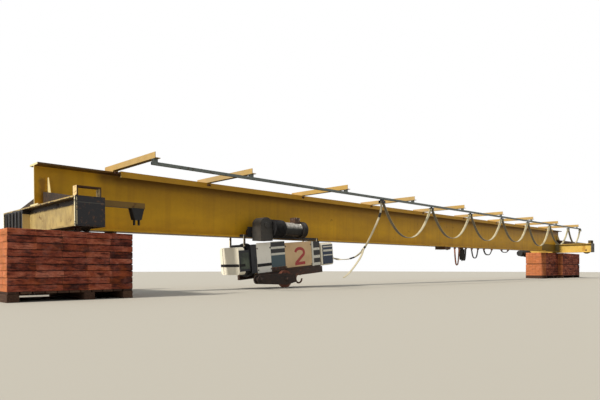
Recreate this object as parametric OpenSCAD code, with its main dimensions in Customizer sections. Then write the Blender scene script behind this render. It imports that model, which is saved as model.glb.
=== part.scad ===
// Single girder overhead bridge crane, set down out of service on packs of bricks.
// World frame: X along the girder, Y across it (minus Y is the festoon side), Z up from the ground.
// Crane frame: X from the left end of the girder, Y from its web, Z from under its bottom flange.

/* [Girder] */
// length of the main girder over its ends
girder_len = 18080; // [12000:10:24000]
// depth of the rolled girder section
girder_depth = 762; // [500:1:1000]
// width of the girder flanges
flange_w = 267; // [200:1:350]
// thickness of the girder flanges
flange_t = 22; // [12:1:40]
// thickness of the girder web
web_t = 14; // [8:1:25]
// root radius between web and flange
root_r = 16; // [8:1:24]
// thickness of the plate that closes each end notch
notch_plate_t = 16; // [10:1:30]

/* [Cap channel] */
// distance from each girder end to the cap channel
cap_inset = 1000; // [600:10:2000]
// outer width of the cap channel
cap_w = 300; // [280:1:400]
// overall depth of the cap channel
cap_depth = 78; // [60:1:110]
// web thickness of the cap channel
cap_web_t = 16; // [8:1:24]
// leg thickness of the cap channel
cap_leg_t = 12; // [6:1:14]

/* [Web gussets] */
// distance of the end gussets from the girder ends
gusset_inset = 150; // [110:1:250]
// thickness of an end gusset
gusset_t = 10; // [6:1:20]
// height of an end gusset above the haunch
gusset_h = 172; // [100:1:220]
// width of an end gusset at its foot
gusset_foot = 100; // [60:1:130]
// width of an end gusset at its head
gusset_head = 40; // [20:1:80]

/* [End carriages] */
// length of an end carriage without its end plates
carriage_len = 2350; // [1800:10:3000]
// overall width of an end carriage
carriage_w = 310; // [260:1:400]
// depth of the end carriage channels
carriage_h = 310; // [240:1:400]
// how far the carriages hang below the girder
carriage_drop = 40; // [20:1:80]
// clear gap between the two channel webs
wheel_gap = 120; // [100:1:150]
// web thickness of the carriage channels
channel_web_t = 10; // [8:1:16]
// flange thickness of the carriage channels
channel_flange_t = 16; // [10:1:24]
// thickness of the carriage end plates
end_plate_t = 25; // [12:1:40]
// recess of the dark cover panel on each end plate
end_panel_in = 16; // [8:1:40]
// thickness of the dark cover panel on each end plate
end_panel_t = 8; // [4:1:20]

/* [Haunches] */
// height of a haunch above the carriage at the girder web
haunch_h = 168; // [100:1:260]
// length of a haunch along the carriage
haunch_len = 950; // [600:10:1100]
// height of a haunch at its thin end
haunch_tip = 14; // [13:1:60]
// thickness of the haunch side plates
haunch_side_t = 10; // [6:1:20]
// thickness of the haunch top plate
haunch_top_t = 12; // [6:1:13]
// inset of the haunch from the carriage sides
haunch_inset = 98; // [40:1:110]

/* [Runway wheels and drives] */
// distance of the runway wheel axles from the carriage ends
wheel_in = 175; // [140:1:300]
// tread diameter of the runway wheels
wheel_d = 250; // [200:1:320]
// width of the wheel tread
wheel_w = 100; // [60:1:110]
// how far the wheels stand out below the carriage
wheel_out = 50; // [20:1:80]
// height of the runway wheel flanges over the tread
wheel_flange_h = 14; // [8:1:20]
// width of one runway wheel flange
wheel_flange_w = 16; // [10:1:24]
// diameter of the runway wheel axles
axle_d = 60; // [40:1:90]
// diameter of the travel gearbox housing about the motor axis
drive_box_d = 270; // [220:1:320]
// length of the travel gearbox housing along its axle
drive_box_l = 200; // [140:1:300]
// diameter of the travel motor
drive_motor_d = 210; // [160:1:220]
// length of the travel motor
drive_motor_l = 560; // [400:10:700]
// drop of the travel motor below the wheel axle
drive_motor_drop = 80; // [40:1:100]
// distance of the dark wheel box from the web of the girder
wheel_box_from = 420; // [300:10:800]
// distance of the dark wheel box from the far end of the carriage
wheel_box_in = 65; // [20:5:100]

/* [End bows] */
// width of an end bow across the carriage
bow_w = 256; // [160:1:290]
// height of an end bow
bow_h = 106; // [60:1:200]
// width of the end bow strap
bow_strap = 95; // [30:1:100]
// thickness of the end bow strap
bow_t = 14; // [8:1:20]

/* [Travel limit switch] */
// length of the limit switch bracket
switch_arm_len = 550; // [300:10:700]
// leg of the limit switch bracket angle
switch_arm_leg = 65; // [40:1:90]
// thickness of the limit switch bracket angle
switch_arm_t = 6; // [4:1:10]
// distance of the bracket from the near end of the carriage
switch_arm_in = 150; // [60:1:300]
// width of the limit switch body
switch_w = 150; // [80:1:180]
// height of the limit switch body
switch_h = 130; // [80:1:180]

/* [Festoon] */
// place of the first festoon arm from the left girder end
arm_first = 900; // [600:10:1000]
// place of the second festoon arm from the left girder end
arm_second = 2330; // [1800:10:3000]
// pitch of the festoon arms after the second
arm_pitch = 2000; // [1500:10:2200]
// number of festoon arms after the first
arm_more = 8; // [4:1:8]
// reach of the festoon arms from the girder web
arm_reach = 1190; // [900:10:1500]
// overhang of the festoon arms past the web on the far side
arm_back = 100; // [50:1:130]
// leg of the festoon arm angle
arm_leg = 70; // [50:1:100]
// thickness of the festoon arm angle
arm_t = 8; // [5:1:12]
// distance of the rail from the tip of the arms
rail_in = 60; // [40:1:150]
// drop of the rail below the arms
rail_gap = 36; // [20:1:80]
// outer height of the festoon rail
rail_h = 36; // [30:1:50]
// outer width of the festoon rail
rail_w = 36; // [30:1:50]
// sheet thickness of the festoon rail
rail_t = 3; // [2:1:5]
// width of the slot under the festoon rail
rail_slot = 16; // [14:1:20]
// width of a rail hanger along the rail
hanger_w = 60; // [30:1:90]
// thickness of a rail hanger strap
hanger_t = 6; // [4:1:10]
// place of the towed cable trolley from the left girder end
tow_x = 5360; // [4000:10:8000]
// distance of the cable end clamp from the right girder end
clamp_in = 1390; // [1100:10:3000]
// distance between the last cable trolley and the end clamp
last_pitch = 1220; // [900:10:1800]
// diameter of the cable trolley rollers
roller_d = 22; // [16:1:26]
// thickness of a cable trolley stem
stem_t = 6; // [4:1:8]
// height of a cable trolley saddle
saddle_h = 46; // [30:1:80]
// wall thickness of a cable trolley saddle
saddle_t = 8; // [4:1:12]
// length of a cable trolley saddle along the rail
saddle_l = 70; // [40:1:120]
// width of the flat festoon cable
cable_w = 56; // [30:1:80]
// thickness of the flat festoon cable
cable_t = 14; // [8:1:20]

/* [Cross trolley] */
// place of the middle of the cross trolley from the left girder end
trolley_x = 3650; // [3000:10:6000]
// distance between the two bogies of the trolley
bogie_base = 700; // [600:10:2400]
// length of a bogie side plate
bogie_len = 420; // [300:10:560]
// thickness of a bogie side plate
bogie_t = 16; // [10:1:24]
// clearance between a bogie side plate and the flange edge
bogie_gap = 22; // [10:1:40]
// tread diameter of the trolley wheels
trolley_wheel_d = 125; // [100:1:160]
// width of the trolley wheel treads
trolley_wheel_w = 40; // [30:1:50]
// wheel spacing in one bogie
bogie_wheels = 250; // [180:1:300]
// diameter of the trolley wheel axles
trolley_axle_d = 32; // [20:1:45]
// width of the travel gearbox along the girder
gearbox_w = 250; // [200:10:400]
// distance of the travel gearbox from the middle of the left bogie
gearbox_step = 0; // [0:1:365]
// height of the travel gearbox
gearbox_h = 370; // [280:1:460]
// depth of the travel gearbox across the girder
gearbox_d = 210; // [140:1:280]
// diameter of the trolley travel motor
motor_d = 240; // [160:1:280]
// length of the finned part of the travel motor
motor_fin_l = 260; // [150:1:400]
// length of the plain part of the travel motor
motor_body_l = 380; // [200:1:500]
// length of the motor fan cover
motor_fan_l = 120; // [80:1:240]

/* [Hoist] */
// pitch of the hoist below the girder, left end down
hoist_pitch = 4.5; // [0:0.5:5]
// length of the left end cover
left_cover_l = 120; // [90:10:450]
// height of the left end cover
left_cover_h = 430; // [350:1:480]
// length of the hoist motor barrel
hoist_motor_l = 110; // [90:10:300]
// diameter of the hoist motor barrel
hoist_motor_d = 420; // [300:1:460]
// length of the round gearbox flange
flange_l = 110; // [80:10:260]
// diameter of the round gearbox flange
flange_d = 540; // [460:1:600]
// length of the rope drum and its cover
drum_l = 1490; // [1000:10:2000]
// diameter of the rope drum
drum_d = 320; // [240:1:400]
// depth of one rope groove in the drum
groove_d = 6; // [3:1:9]
// number of rope grooves that are cut
groove_n = 12; // [6:1:14]
// height of the drum cover
cover_h = 450; // [400:1:454]
// thickness of the drum cover sheet
cover_t = 8; // [5:1:12]
// length of the right end cover
right_cover_l = 330; // [200:10:450]
// height of the right end cover
right_cover_h = 410; // [320:1:460]
// half width of the hoist body across the girder
hoist_half_w = 260; // [200:1:300]
// depth of the lower frame under the drum
lower_frame_h = 110; // [60:1:160]
// thickness of the lower frame members
lower_frame_t = 60; // [30:1:90]

/* [Hook block] */
// length of the hook block from its round end to its sheave pin
block_l = 620; // [400:10:700]
// thickness of a cheek of the hook block
cheek_t = 24; // [10:1:40]
// diameter of the block sheave
sheave_d = 280; // [220:1:320]
// width of the block sheave
sheave_w = 60; // [40:1:90]
// clearance of the hook block over the ground at the low end of the trolley's travel
block_clear = 4; // [2:1:60]
// diameter of the wire rope
rope_d = 16; // [10:1:22]

/* [Stands] */
// height of one course of bricks
course_h = 67; // [60:1:80]
// number of courses in a left pack
left_courses = 9; // [6:1:12]
// number of courses in one tier of a right pack
tier_courses = 6; // [4:1:8]
// height of a pallet
pallet_h = 100; // [80:1:160]
// thickness of the boards between the two tiers
tier_board = 20; // [10:1:60]
// width of the near left pack along the girder
left_pack_w = 1240; // [900:10:1400]
// width of the far left pack, which leaves the travel drive free
left_far_w = 900; // [700:10:910]
// length of a left pack across the girder
left_pack_l = 1000; // [700:10:1100]
// distance of the first right pack from the right girder end
right_in = 1380; // [1250:10:1500]
// width of the first right pack along the girder
right_a_w = 1250; // [900:10:1400]
// length of the first right pack across the girder
right_a_l = 700; // [500:10:1200]
// width of the second right pack along the girder
right_b_w = 1990; // [900:10:2200]
// length of the second right pack across the girder
right_b_l = 860; // [500:10:1300]
// thickness of the pallet deck
deck_t = 22; // [15:1:30]
// place of the middle bearer as a share of the pallet's width
bearer_mid = 0.63; // [0.3:0.01:0.7]
// width of a pallet bearer
bearer_w = 110; // [80:1:160]

/* [Hidden] */
$fn = 48;
eps = 0.5;
seat = 0.3;
both = [-1, 1];

// derived heights and places in the crane frame
half_web = web_t / 2;
half_flange = flange_w / 2;
half_l = carriage_len / 2;
carriage_bottom = -carriage_drop;
carriage_top = carriage_bottom + carriage_h;
channel_w = (carriage_w - wheel_gap) / 2;
wheel_y = half_l - wheel_in;
axle_z = carriage_bottom - wheel_out + wheel_d / 2;
tread_in = (carriage_w - wheel_w) / 2;
wheel_bottom = carriage_bottom - wheel_out;
arm_x = concat([arm_first], [for (i = [0 : arm_more - 1]) arm_second + arm_pitch * i]);
arm_z = girder_depth + cap_web_t;
rail_y = -(arm_reach - rail_in);
rail_top = arm_z - rail_gap;
rail_bottom = rail_top - rail_h;
rail_over = 10;
rail_from = arm_first - rail_over;
clamp_x = girder_len - clamp_in;
rail_to = clamp_x + 50;
clamp_l = 60;
carriers = 7;
carrier_pitch = (clamp_x - tow_x - last_pitch) / (carriers - 1);
carrier_x = [for (i = [0 : carriers - 1]) tow_x + carrier_pitch * i];
roller_play = 2;
roller_z = rail_bottom + rail_t + roller_d / 2 + seat;
saddle_top = rail_bottom - 20;
saddle_bottom = saddle_top - saddle_h;
cable_top = saddle_top - saddle_t - seat;

// stands and the small slope of the girder between them
left_top = pallet_h + course_h * left_courses;
right_top = pallet_h + 2 * tier_courses * course_h + tier_board;
pivot_x = tread_in;
far_inner = girder_len - carriage_w;
seat_run = norm([far_inner - pivot_x, wheel_out]);
slope = asin((right_top - left_top) / seat_run) - atan2(wheel_out, far_inner - pivot_x);
left_pack_from = -left_pack_w / 2;
right_a_from = girder_len - right_in;
right_b_from = right_a_from + right_a_w;
right_a_y = -40;
right_b_y = -200;
left_pack_out = half_l + end_plate_t;
left_pack_in = left_pack_out - left_pack_l;
right_end = right_b_from + right_b_w;
centre_x = (left_pack_from + right_end) / 2;

// lowest point of each cable loop above the girder underside, from left to right
loop_low = [60, 110, 110, 130, 70, 150, 230];
// number of straight steps in one loop
loop_steps = 20;
// inset of a loop's ends from the middle of its trolleys
loop_in = 20;
// how full the bottom of a loop is
loop_power = 2.2;

// trolley and hoist, in the crane frame
bogie_y = half_flange + bogie_gap;
wheel_z = flange_t + trolley_wheel_d / 2 + seat;
bogie_x = [trolley_x - bogie_base / 2, trolley_x + bogie_base / 2];
bogie_low = 2;
bogie_high = flange_t + trolley_wheel_d + 20;
tread_edge = 8;
gearbox_x = bogie_x[0] + gearbox_step;
gearbox_y = -(bogie_y + bogie_t + seat);
gearbox_low = -55;
motor_z = 150;
motor_forward = 44;
motor_y = gearbox_y - gearbox_d / 2 - motor_forward;
motor_fins = 9;
fin_t = 10;
fin_out = 22;
terminal = [130, 120, 110];
terminal_sink = 30;
hoist_x = 3400;
hoist_z = -340;
hoist_from = -550;
left_cover_to = hoist_from + left_cover_l;
motor_to = left_cover_to + hoist_motor_l;
flange_to = motor_to + flange_l;
drum_to = flange_to + drum_l;
ground_fall = left_top + wheel_out + carriage_drop;
bar_h = 38;
bar_left = 75;
bar_right = 30;
link_w = 34;
link_t = 14;
link_top = bogie_low + bar_h - 4;
lug_t = 30;
lug_gap = 14;
lug_pin_d = 22;
pin_play = 0.2;
axle_play = 1;
pin_head = 10;
frame_from = drum_to + lug_gap - 4;
frame_to = frame_from + lug_t;
right_cover_drop = 20;
cover_r = 55;
end_cover_in = 25;
gland_d = 70;
gland_l = 30;
gland_at = [-190, -110];
flange_rim = 40;
lug_at = [
  [(left_cover_to + motor_to) / 2, hoist_motor_d / 2 + 24],
  [(frame_from + frame_to) / 2, cover_h / 2 - 70]
];
pin_at = [for (p = lug_at) [
  hoist_x + p[0] * cos(hoist_pitch) - p[1] * sin(hoist_pitch),
  hoist_z + p[0] * sin(hoist_pitch) + p[1] * cos(hoist_pitch)
]];
groove_wall = 2;
rope_bend = 70;
rope_y = -(drum_d / 2 + rope_d / 2 + seat);
travel_low = 1500;
block_x = 3060;
block_y = -385;
sheave_x = block_x + block_l;
travel_fall = travel_low * sin(slope);
block_z = -ground_fall - sheave_x * sin(slope) + block_clear + travel_fall + sheave_d / 2;
cheek_y = sheave_w / 2 + cheek_t / 2 + 2 * groove_wall;
cheek_r = [70, 95, 55];
cheek_tail = 200;
block_pin_d = 60;
spacer_d = 70;
crosshead = 50;
shank_l = 80;
shank_d = 34;
hook_r = 72;
hook_d = 28;
hook_mouth = 60;
socket_l = 40;
socket_d = 34;
rope_in = 170;
rope_step = 180;
run_drop = 45;

// cable routes and spare cable, in the crane frame
cable_side = [0.7, -0.71, 0];
tow_route = [
  [5338, -1130, 678], [5338, -1130, 620], [5334, -1130, 550], [5324, -1122, 470],
  [5312, -1100, 390], [5304, -1065, 310], [5304, -1020, 230], [5310, -965, 145],
  [5318, -905, 60], [5326, -845, -25], [5332, -780, -110], [5334, -705, -190],
  [5330, -620, -258], [5322, -530, -305], [5306, -440, -332], [5275, -358, -343],
  [5230, -285, -344], [5178, -228, -336], [5135, -198, -323], [5098, -190, -317]
];
slack_route = [
  [5322, -748, -140], [5316, -742, -180], [5300, -736, -230], [5276, -728, -280],
  [5244, -720, -330], [5204, -714, -378], [5158, -710, -424], [5108, -708, -470],
  [5054, -708, -514], [4998, -710, -556], [4938, -714, -594], [4874, -720, -626],
  [4810, -728, -652], [4760, -736, -668]
];
tow_w = 36;
slack_w = 34;
spare_y = 165;
spare_w = 40;
spare_t = 36;
spare_top = -30;
spare_power = 3;
spare_loops = [
  [10080, 240, 40], [10590, 280, 450], [10800, 120, 300], [10990, 240, 320],
  [11640, 420, 255], [12480, 560, 155], [13680, 520, 70]
];
stop_x = [900, 9400];
stop_l = [40, 280];
stop_h = 70;

// places its children from the crane frame into the world frame
module on_crane() {
  translate([pivot_x - centre_x, 0, left_top])
    rotate([0, -slope, 0])
      translate([-pivot_x, 0, -wheel_bottom])
        children();
}

// draws its children at the left end and mirrored at the right end
module both_ends() {
  children();
  translate([girder_len, 0, 0])
    mirror([1, 0, 0])
      children();
}

// draws its children and their mirror image across the girder
module both_sides() {
  children();
  mirror([0, 1, 0])
    children();
}

// profile in Y and Z, drawn from X = from for a given length
module along_x(from, length) {
  translate([from, 0, 0])
    rotate([90, 0, 90])
      linear_extrude(length)
        children();
}

// profile in X and Z, drawn from Y = from for a given length towards plus Y
module along_y(from, length) {
  translate([0, from + length, 0])
    rotate([90, 0, 0])
      linear_extrude(length)
        children();
}

// cylinder along X
module rod_x(from, length, diameter, y, z) {
  translate([from, y, z])
    rotate([0, 90, 0])
      cylinder(h = length, d = diameter);
}

// cylinder along Y
module rod_y(from, length, diameter, x, z) {
  translate([x, from, z])
    rotate([-90, 0, 0])
      cylinder(h = length, d = diameter);
}

// rolled girder section with its root fillets
module girder_section() {
  difference() {
    translate([-half_flange, 0])
      square([flange_w, girder_depth]);
    for (side = both)
      translate([side * (half_flange + half_web) / 2, girder_depth / 2])
        difference() {
          square([half_flange - half_web, girder_depth - 2 * flange_t], center = true);
          for (up = both)
            translate([-side * (half_flange - half_web) / 2, up * (girder_depth / 2 - flange_t)])
              root_fillet(side, up);
        }
  }
}

// fillet left standing in one root corner
module root_fillet(side, up) {
  difference() {
    translate([side > 0 ? 0 : -root_r, up > 0 ? -root_r : 0])
      square(root_r);
    translate([side * root_r, -up * root_r])
      circle(r = root_r);
  }
}

// main girder, notched over each end carriage
module main_girder() {
  color("#b8841c")
    on_crane()
      union() {
        difference() {
          along_x(0, girder_len)
            girder_section();
          both_ends()
            translate([-eps, -half_flange - eps, -eps])
              cube([carriage_w + seat + eps, flange_w + 2 * eps, carriage_top + eps]);
        }
        both_ends()
          translate([carriage_w + seat, -half_flange, 0])
            cube([notch_plate_t, flange_w, carriage_top]);
        both_ends()
          translate([0, -half_flange, carriage_top])
            cube([carriage_w + seat + notch_plate_t, flange_w, notch_plate_t]);
      }
}

// channel with its legs down over the top flange
module cap_channel() {
  color("#c9a24a")
    on_crane()
      along_x(cap_inset, girder_len - 2 * cap_inset)
        translate([0, girder_depth + cap_web_t - cap_depth])
          difference() {
            translate([-cap_w / 2, 0])
              square([cap_w, cap_depth]);
            translate([-cap_w / 2 + cap_leg_t, -eps])
              square([cap_w - 2 * cap_leg_t, cap_depth - cap_web_t + eps]);
          }
}

// tapered stiffener on the web above each haunch
module web_gussets() {
  line = haunch_line(seat);
  fall = (line[0][1] - line[1][1]) / haunch_len;
  color("#b8841c")
    on_crane()
      both_ends()
        both_sides()
          along_x(gusset_inset, gusset_t)
            polygon([
              line[0],
              line[0] + [gusset_foot, -gusset_foot * fall],
              line[0] + [gusset_head, gusset_h],
              line[0] + [0, gusset_h]
            ]);
}

// one carriage channel with its toes towards minus X
module carriage_channel() {
  along_y(-half_l, carriage_len)
    translate([0, carriage_bottom])
      difference() {
        square([channel_w, carriage_h]);
        translate([-eps, channel_flange_t])
          square([channel_w - channel_web_t + eps, carriage_h - 2 * channel_flange_t]);
      }
}

// outer and inner channel of both end carriages
module carriage_channels() {
  color("#d8a636")
    on_crane()
      both_ends() {
        difference() {
          carriage_channel();
          axle_holes();
        }
        difference() {
          translate([carriage_w, 0, 0])
            mirror([1, 0, 0])
              carriage_channel();
          axle_holes();
        }
      }
}

// holes through both channels for the wheel axles
module axle_holes() {
  for (side = both)
    rod_x(-eps, carriage_w + 2 * eps, axle_d, side * wheel_y, axle_z);
}

// closing plates on the carriage ends
module carriage_end_plates() {
  color("#2e2c30")
    on_crane()
      both_ends()
        both_sides() {
          translate([0, half_l, carriage_bottom])
            cube([carriage_w, end_plate_t, carriage_h]);
          translate([end_panel_in, half_l + end_plate_t, carriage_bottom + end_panel_in])
            cube([carriage_w - 2 * end_panel_in, end_panel_t, carriage_h - 2 * end_panel_in]);
        }
}

// sloping top line of a haunch, raised by a given amount
function haunch_line(lift) = [
  [half_web, carriage_top + haunch_h + lift],
  [half_web + haunch_len, carriage_top + haunch_tip + lift]
];

// tapered haunches between the girder web and the carriage top
module carriage_haunches() {
  inner = haunch_line(-haunch_top_t);
  outer = haunch_line(0);
  foot = carriage_top + notch_plate_t;
  body_w = carriage_w - 2 * haunch_inset;
  color("#5a4030")
    on_crane()
      both_ends()
        both_sides()
          difference() {
            along_x(haunch_inset, body_w)
              polygon([
                [half_web + gusset_foot + 40, carriage_top],
                outer[1] - [0, haunch_tip],
                outer[1],
                outer[0],
                [half_web, foot],
                [half_web + gusset_foot + 40, foot]
              ]);
            along_x(haunch_inset + haunch_side_t, body_w - 2 * haunch_side_t)
              polygon([
                [half_web - eps, carriage_top - eps],
                inner[1] - [haunch_side_t, haunch_tip],
                inner[1] - [haunch_side_t, 0],
                inner[0] - [eps, 0]
              ]);
          }
}

// double flanged runway wheels on their axles
module carriage_wheels() {
  axle_from = channel_w - channel_web_t;
  tread_d = wheel_d - 2 * wheel_flange_h;
  color("#4a4642")
    on_crane()
      both_ends()
        for (side = both) {
          rod_x(tread_in, wheel_w, tread_d, side * wheel_y, axle_z);
          for (x = [tread_in, tread_in + wheel_w - wheel_flange_w])
            rod_x(x, wheel_flange_w, wheel_d, side * wheel_y, axle_z);
          rod_x(axle_from, carriage_w - 2 * axle_from, axle_d, side * wheel_y, axle_z);
        }
}

// dark box over the far half of each outer channel
module wheel_boxes() {
  box_l = half_l - wheel_box_in - wheel_box_from;
  color("#2b2a2e")
    on_crane()
      both_ends()
        translate([0, wheel_box_from, carriage_bottom + channel_flange_t])
          cube([channel_w - channel_web_t, box_l, carriage_h - 2 * channel_flange_t]);
}

// travel gearbox and motor on each carriage at its far wheel
module travel_drives() {
  motor_at = axle_z - drive_motor_drop;
  box_from = carriage_w + seat;
  stub_from = carriage_w - channel_w + channel_web_t + seat;
  color("#26262a")
    on_crane()
      both_ends() {
        rod_x(stub_from, box_from + eps - stub_from, axle_d - axle_play, wheel_y, axle_z);
        along_x(box_from, drive_box_l)
          union() {
            translate([wheel_y, motor_at])
              circle(d = drive_box_d);
            translate([wheel_y, axle_z])
              circle(d = drive_box_d * 3 / 4);
          }
        rod_x(box_from + drive_box_l, drive_motor_l, drive_motor_d, wheel_y, motor_at);
      }
}

// flat strap bent to a bow on each near carriage end
module end_bows() {
  from = (carriage_w - bow_w) / 2;
  color("#3a3632")
    on_crane()
      both_ends()
        along_y(-half_l, bow_strap)
          translate([from, carriage_top])
            difference() {
              square([bow_w, bow_h]);
              translate([bow_t, -eps])
                square([bow_w - 2 * bow_t, bow_h - bow_t + eps]);
            }
}

// angle that carries the travel limit switch off the left carriage
module switch_bracket() {
  y = -half_l + switch_arm_in;
  color("#8a7a2a")
    on_crane()
      translate([carriage_w, y, carriage_top - switch_arm_leg]) {
        cube([switch_arm_len, switch_arm_t, switch_arm_leg]);
        cube([switch_arm_len, switch_arm_leg, switch_arm_t]);
      }
}

// travel limit switch with its forked lever
module limit_switch() {
  y = -half_l + switch_arm_in;
  x = carriage_w + switch_arm_len - switch_w - 20;
  top = carriage_top - switch_arm_leg;
  color("#1e1e20")
    on_crane() {
      along_y(y - 20, 90)
        polygon([
          [x, top],
          [x + switch_w, top],
          [x + switch_w - 34, top - switch_h],
          [x + 34, top - switch_h]
        ]);
      for (step = [40, switch_w - 54])
        translate([x + step, y + 10, top - switch_h - 60])
          cube([14, 30, 60]);
    }
}

// angle arms that reach from the girder top to the festoon rail
module festoon_arms() {
  reach = arm_reach + arm_back;
  color("#d8a636")
    on_crane()
      for (x = arm_x) {
        translate([x, -arm_reach, arm_z])
          cube([arm_t, reach, arm_leg]);
        translate([x, -arm_reach, arm_z])
          cube([arm_leg, reach, arm_t]);
        if (x + arm_leg < cap_inset)
          translate([x, -half_flange, girder_depth])
            cube([arm_leg, half_flange + arm_back, cap_web_t]);
      }
}

// slotted rail under the arm tips
module festoon_rail() {
  color("#55524c")
    on_crane()
      along_x(rail_from, rail_to - rail_from)
        translate([rail_y, rail_bottom])
          difference() {
            translate([-rail_w / 2, 0])
              square([rail_w, rail_h]);
            translate([-rail_w / 2 + rail_t, rail_t])
              square([rail_w - 2 * rail_t, rail_h - 2 * rail_t]);
            translate([-rail_slot / 2, -eps])
              square([rail_slot, rail_t + 2 * eps]);
          }
}

// strap hangers between the arms and the rail
module rail_hangers() {
  color("#3a3632")
    on_crane()
      for (x = arm_x)
        translate([x, rail_y - rail_w / 2, rail_top])
          difference() {
            cube([hanger_w, rail_w, arm_z - rail_top]);
            translate([-eps, hanger_t, hanger_t])
              cube([hanger_w + 2 * eps, rail_w - 2 * hanger_t, arm_z - rail_top - 2 * hanger_t]);
          }
}

// clamp that holds the cable at the right end of the rail
module cable_end_clamp() {
  half = cable_w / 2 + seat;
  color("#2e2c30")
    on_crane()
      translate([clamp_x - clamp_l / 2, rail_y, 0]) {
        translate([0, -half - saddle_t, cable_top + seat])
          cube([clamp_l, 2 * (half + saddle_t), rail_bottom - cable_top - seat]);
        for (from = [-half - saddle_t, half])
          translate([0, from, saddle_bottom])
            cube([clamp_l, saddle_t, cable_top + seat - saddle_bottom]);
      }
}

// cable trolley with two rollers in the rail and a saddle below it
module cable_trolley(x, length) {
  roller_l = rail_w / 2 - rail_t - roller_play - stem_t / 2;
  on_crane()
    translate([x, rail_y, 0]) {
      for (step = both)
        for (from = [stem_t / 2, -stem_t / 2 - roller_l])
          rod_y(from, roller_l, roller_d, step * length / 4, roller_z);
      translate([-length / 2, -stem_t / 2, saddle_top])
        cube([length, stem_t, roller_z + roller_d / 4 - saddle_top]);
      translate([-length / 2, -cable_w / 2 - saddle_t, saddle_bottom])
        difference() {
          cube([length, cable_w + 2 * saddle_t, saddle_h]);
          translate([-eps, saddle_t - seat, -eps])
            cube([length + 2 * eps, cable_w + 2 * seat, saddle_h - saddle_t + eps]);
        }
    }
}

// towed cable trolley at the hoist end of the rail
module tow_carrier() {
  color("#2e2c30")
    cable_trolley(carrier_x[0], saddle_l + 40);
}

// plain cable trolley number i of the row
module carrier(i) {
  color("#2e2c30")
    cable_trolley(carrier_x[i - 1], saddle_l);
}

// right end of each loop
function loop_end(i) = i < carriers ? carrier_x[i] : clamp_x;

// point on the middle line of loop i at a share t of its span
function loop_point(i, t) =
  let (a = carrier_x[i - 1] + loop_in)
  let (b = loop_end(i) - loop_in)
  let (top = cable_top - cable_t / 2)
  [a + (b - a) * t, loop_low[i - 1] + (top - loop_low[i - 1]) * pow(abs(2 * t - 1), loop_power)];

// unit normal of the loop's middle line at t
function loop_normal(i, t) =
  let (d = loop_point(i, t + 0.01) - loop_point(i, t - 0.01))
  [-d[1], d[0]] / norm(d);

// flat cable that hangs between two trolleys
module cable_loop(i) {
  steps = [for (k = [0 : loop_steps]) k / loop_steps];
  upper = [for (s = steps) loop_point(i, s) + loop_normal(i, s) * cable_t / 2];
  lower = [for (s = steps) loop_point(i, 1 - s) - loop_normal(i, 1 - s) * cable_t / 2];
  color("#c9bd98")
    on_crane()
      along_y(rail_y - cable_w / 2, cable_w)
        polygon(concat(upper, lower));
}

// side plates of the two trolley bogies, one pair each side of the web
module trolley_bogies() {
  bar_from = pin_at[0][0] - bar_left;
  bar_to = pin_at[1][0] + bar_right;
  out_y = bogie_y + bogie_t + eps;
  color("#3c3c40")
    on_crane()
      for (x = bogie_x)
        difference() {
          both_sides() {
            translate([x - bogie_len / 2, bogie_y, bogie_low])
              cube([bogie_len, bogie_t, bogie_high - bogie_low]);
            translate([bar_from, bogie_y, bogie_low])
              cube([bar_to - bar_from, bogie_t, bar_h]);
          }
          for (step = both)
            rod_y(-out_y, 2 * out_y, trolley_axle_d, x + step * bogie_wheels / 2, wheel_z);
        }
}

// trolley wheels on the bottom flange with their stub axles
module trolley_wheels() {
  tread_y = half_flange - trolley_wheel_w - tread_edge;
  axle_y = tread_y + trolley_wheel_w - eps;
  color("#5a5650")
    on_crane()
      for (x = bogie_x)
        for (step = both)
          both_sides() {
            rod_y(tread_y, trolley_wheel_w, trolley_wheel_d, x + step * bogie_wheels / 2, wheel_z);
            rod_y(axle_y, bogie_y + bogie_t - axle_y, trolley_axle_d, x + step * bogie_wheels / 2, wheel_z);
          }
}

// round topped gearbox on the near side of the driven bogie
module travel_gearbox() {
  r = gearbox_w / 2;
  color("#2c2c30")
    on_crane()
      along_y(gearbox_y - gearbox_d, gearbox_d)
        union() {
          translate([gearbox_x - r, gearbox_low])
            square([gearbox_w, gearbox_h - r]);
          translate([gearbox_x, gearbox_low + gearbox_h - r])
            circle(r = r);
        }
}

// ribbed travel motor with its fan cover and terminal box
module travel_motor() {
  from = gearbox_x + gearbox_w / 2;
  body_from = from + motor_fin_l;
  fan_from = body_from + motor_body_l;
  fin_pitch = (motor_fin_l - fin_t) / motor_fins;
  fin_d = motor_d + 2 * fin_out;
  terminal_z = motor_z + motor_d / 2 - terminal_sink;
  color("#9a9a98")
    on_crane() {
      rod_x(from, motor_fin_l, motor_d - 2 * fin_out, motor_y, motor_z);
      for (k = [0 : motor_fins - 1])
        rod_x(from + fin_t + k * fin_pitch, fin_t, fin_d, motor_y, motor_z);
      rod_x(body_from, motor_body_l, motor_d, motor_y, motor_z);
      rod_x(fan_from, motor_fan_l, fin_d, motor_y, motor_z);
      translate([fan_from - terminal[0] - fin_t, motor_y - terminal[1] / 2, terminal_z])
        cube(terminal);
    }
}

// places its children in the hoist's own pitched frame
module on_hoist() {
  on_crane()
    translate([hoist_x, 0, hoist_z])
      rotate([0, -hoist_pitch, 0])
        children();
}

// links and pins between the bogies and the lugs of the hoist
module hoist_hangers() {
  color("#3c3c40")
    on_crane()
      for (k = [0, 1])
        both_sides() {
          translate([pin_at[k][0] - link_w / 2, bogie_y + bogie_t + seat, pin_at[k][1] - link_w / 2])
            cube([link_w, link_t, link_top - pin_at[k][1] + link_w / 2]);
          rod_y(bogie_y, bogie_t + seat + link_t + pin_head, lug_pin_d, pin_at[k][0], pin_at[k][1]);
        }
}

// hole for the hanger pin at hanger k, in the hoist's own frame
module lug_pin_hole(k) {
  rod_y(-hoist_half_w, 2 * hoist_half_w, lug_pin_d + pin_play, lug_at[k][0], lug_at[k][1]);
}

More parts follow.
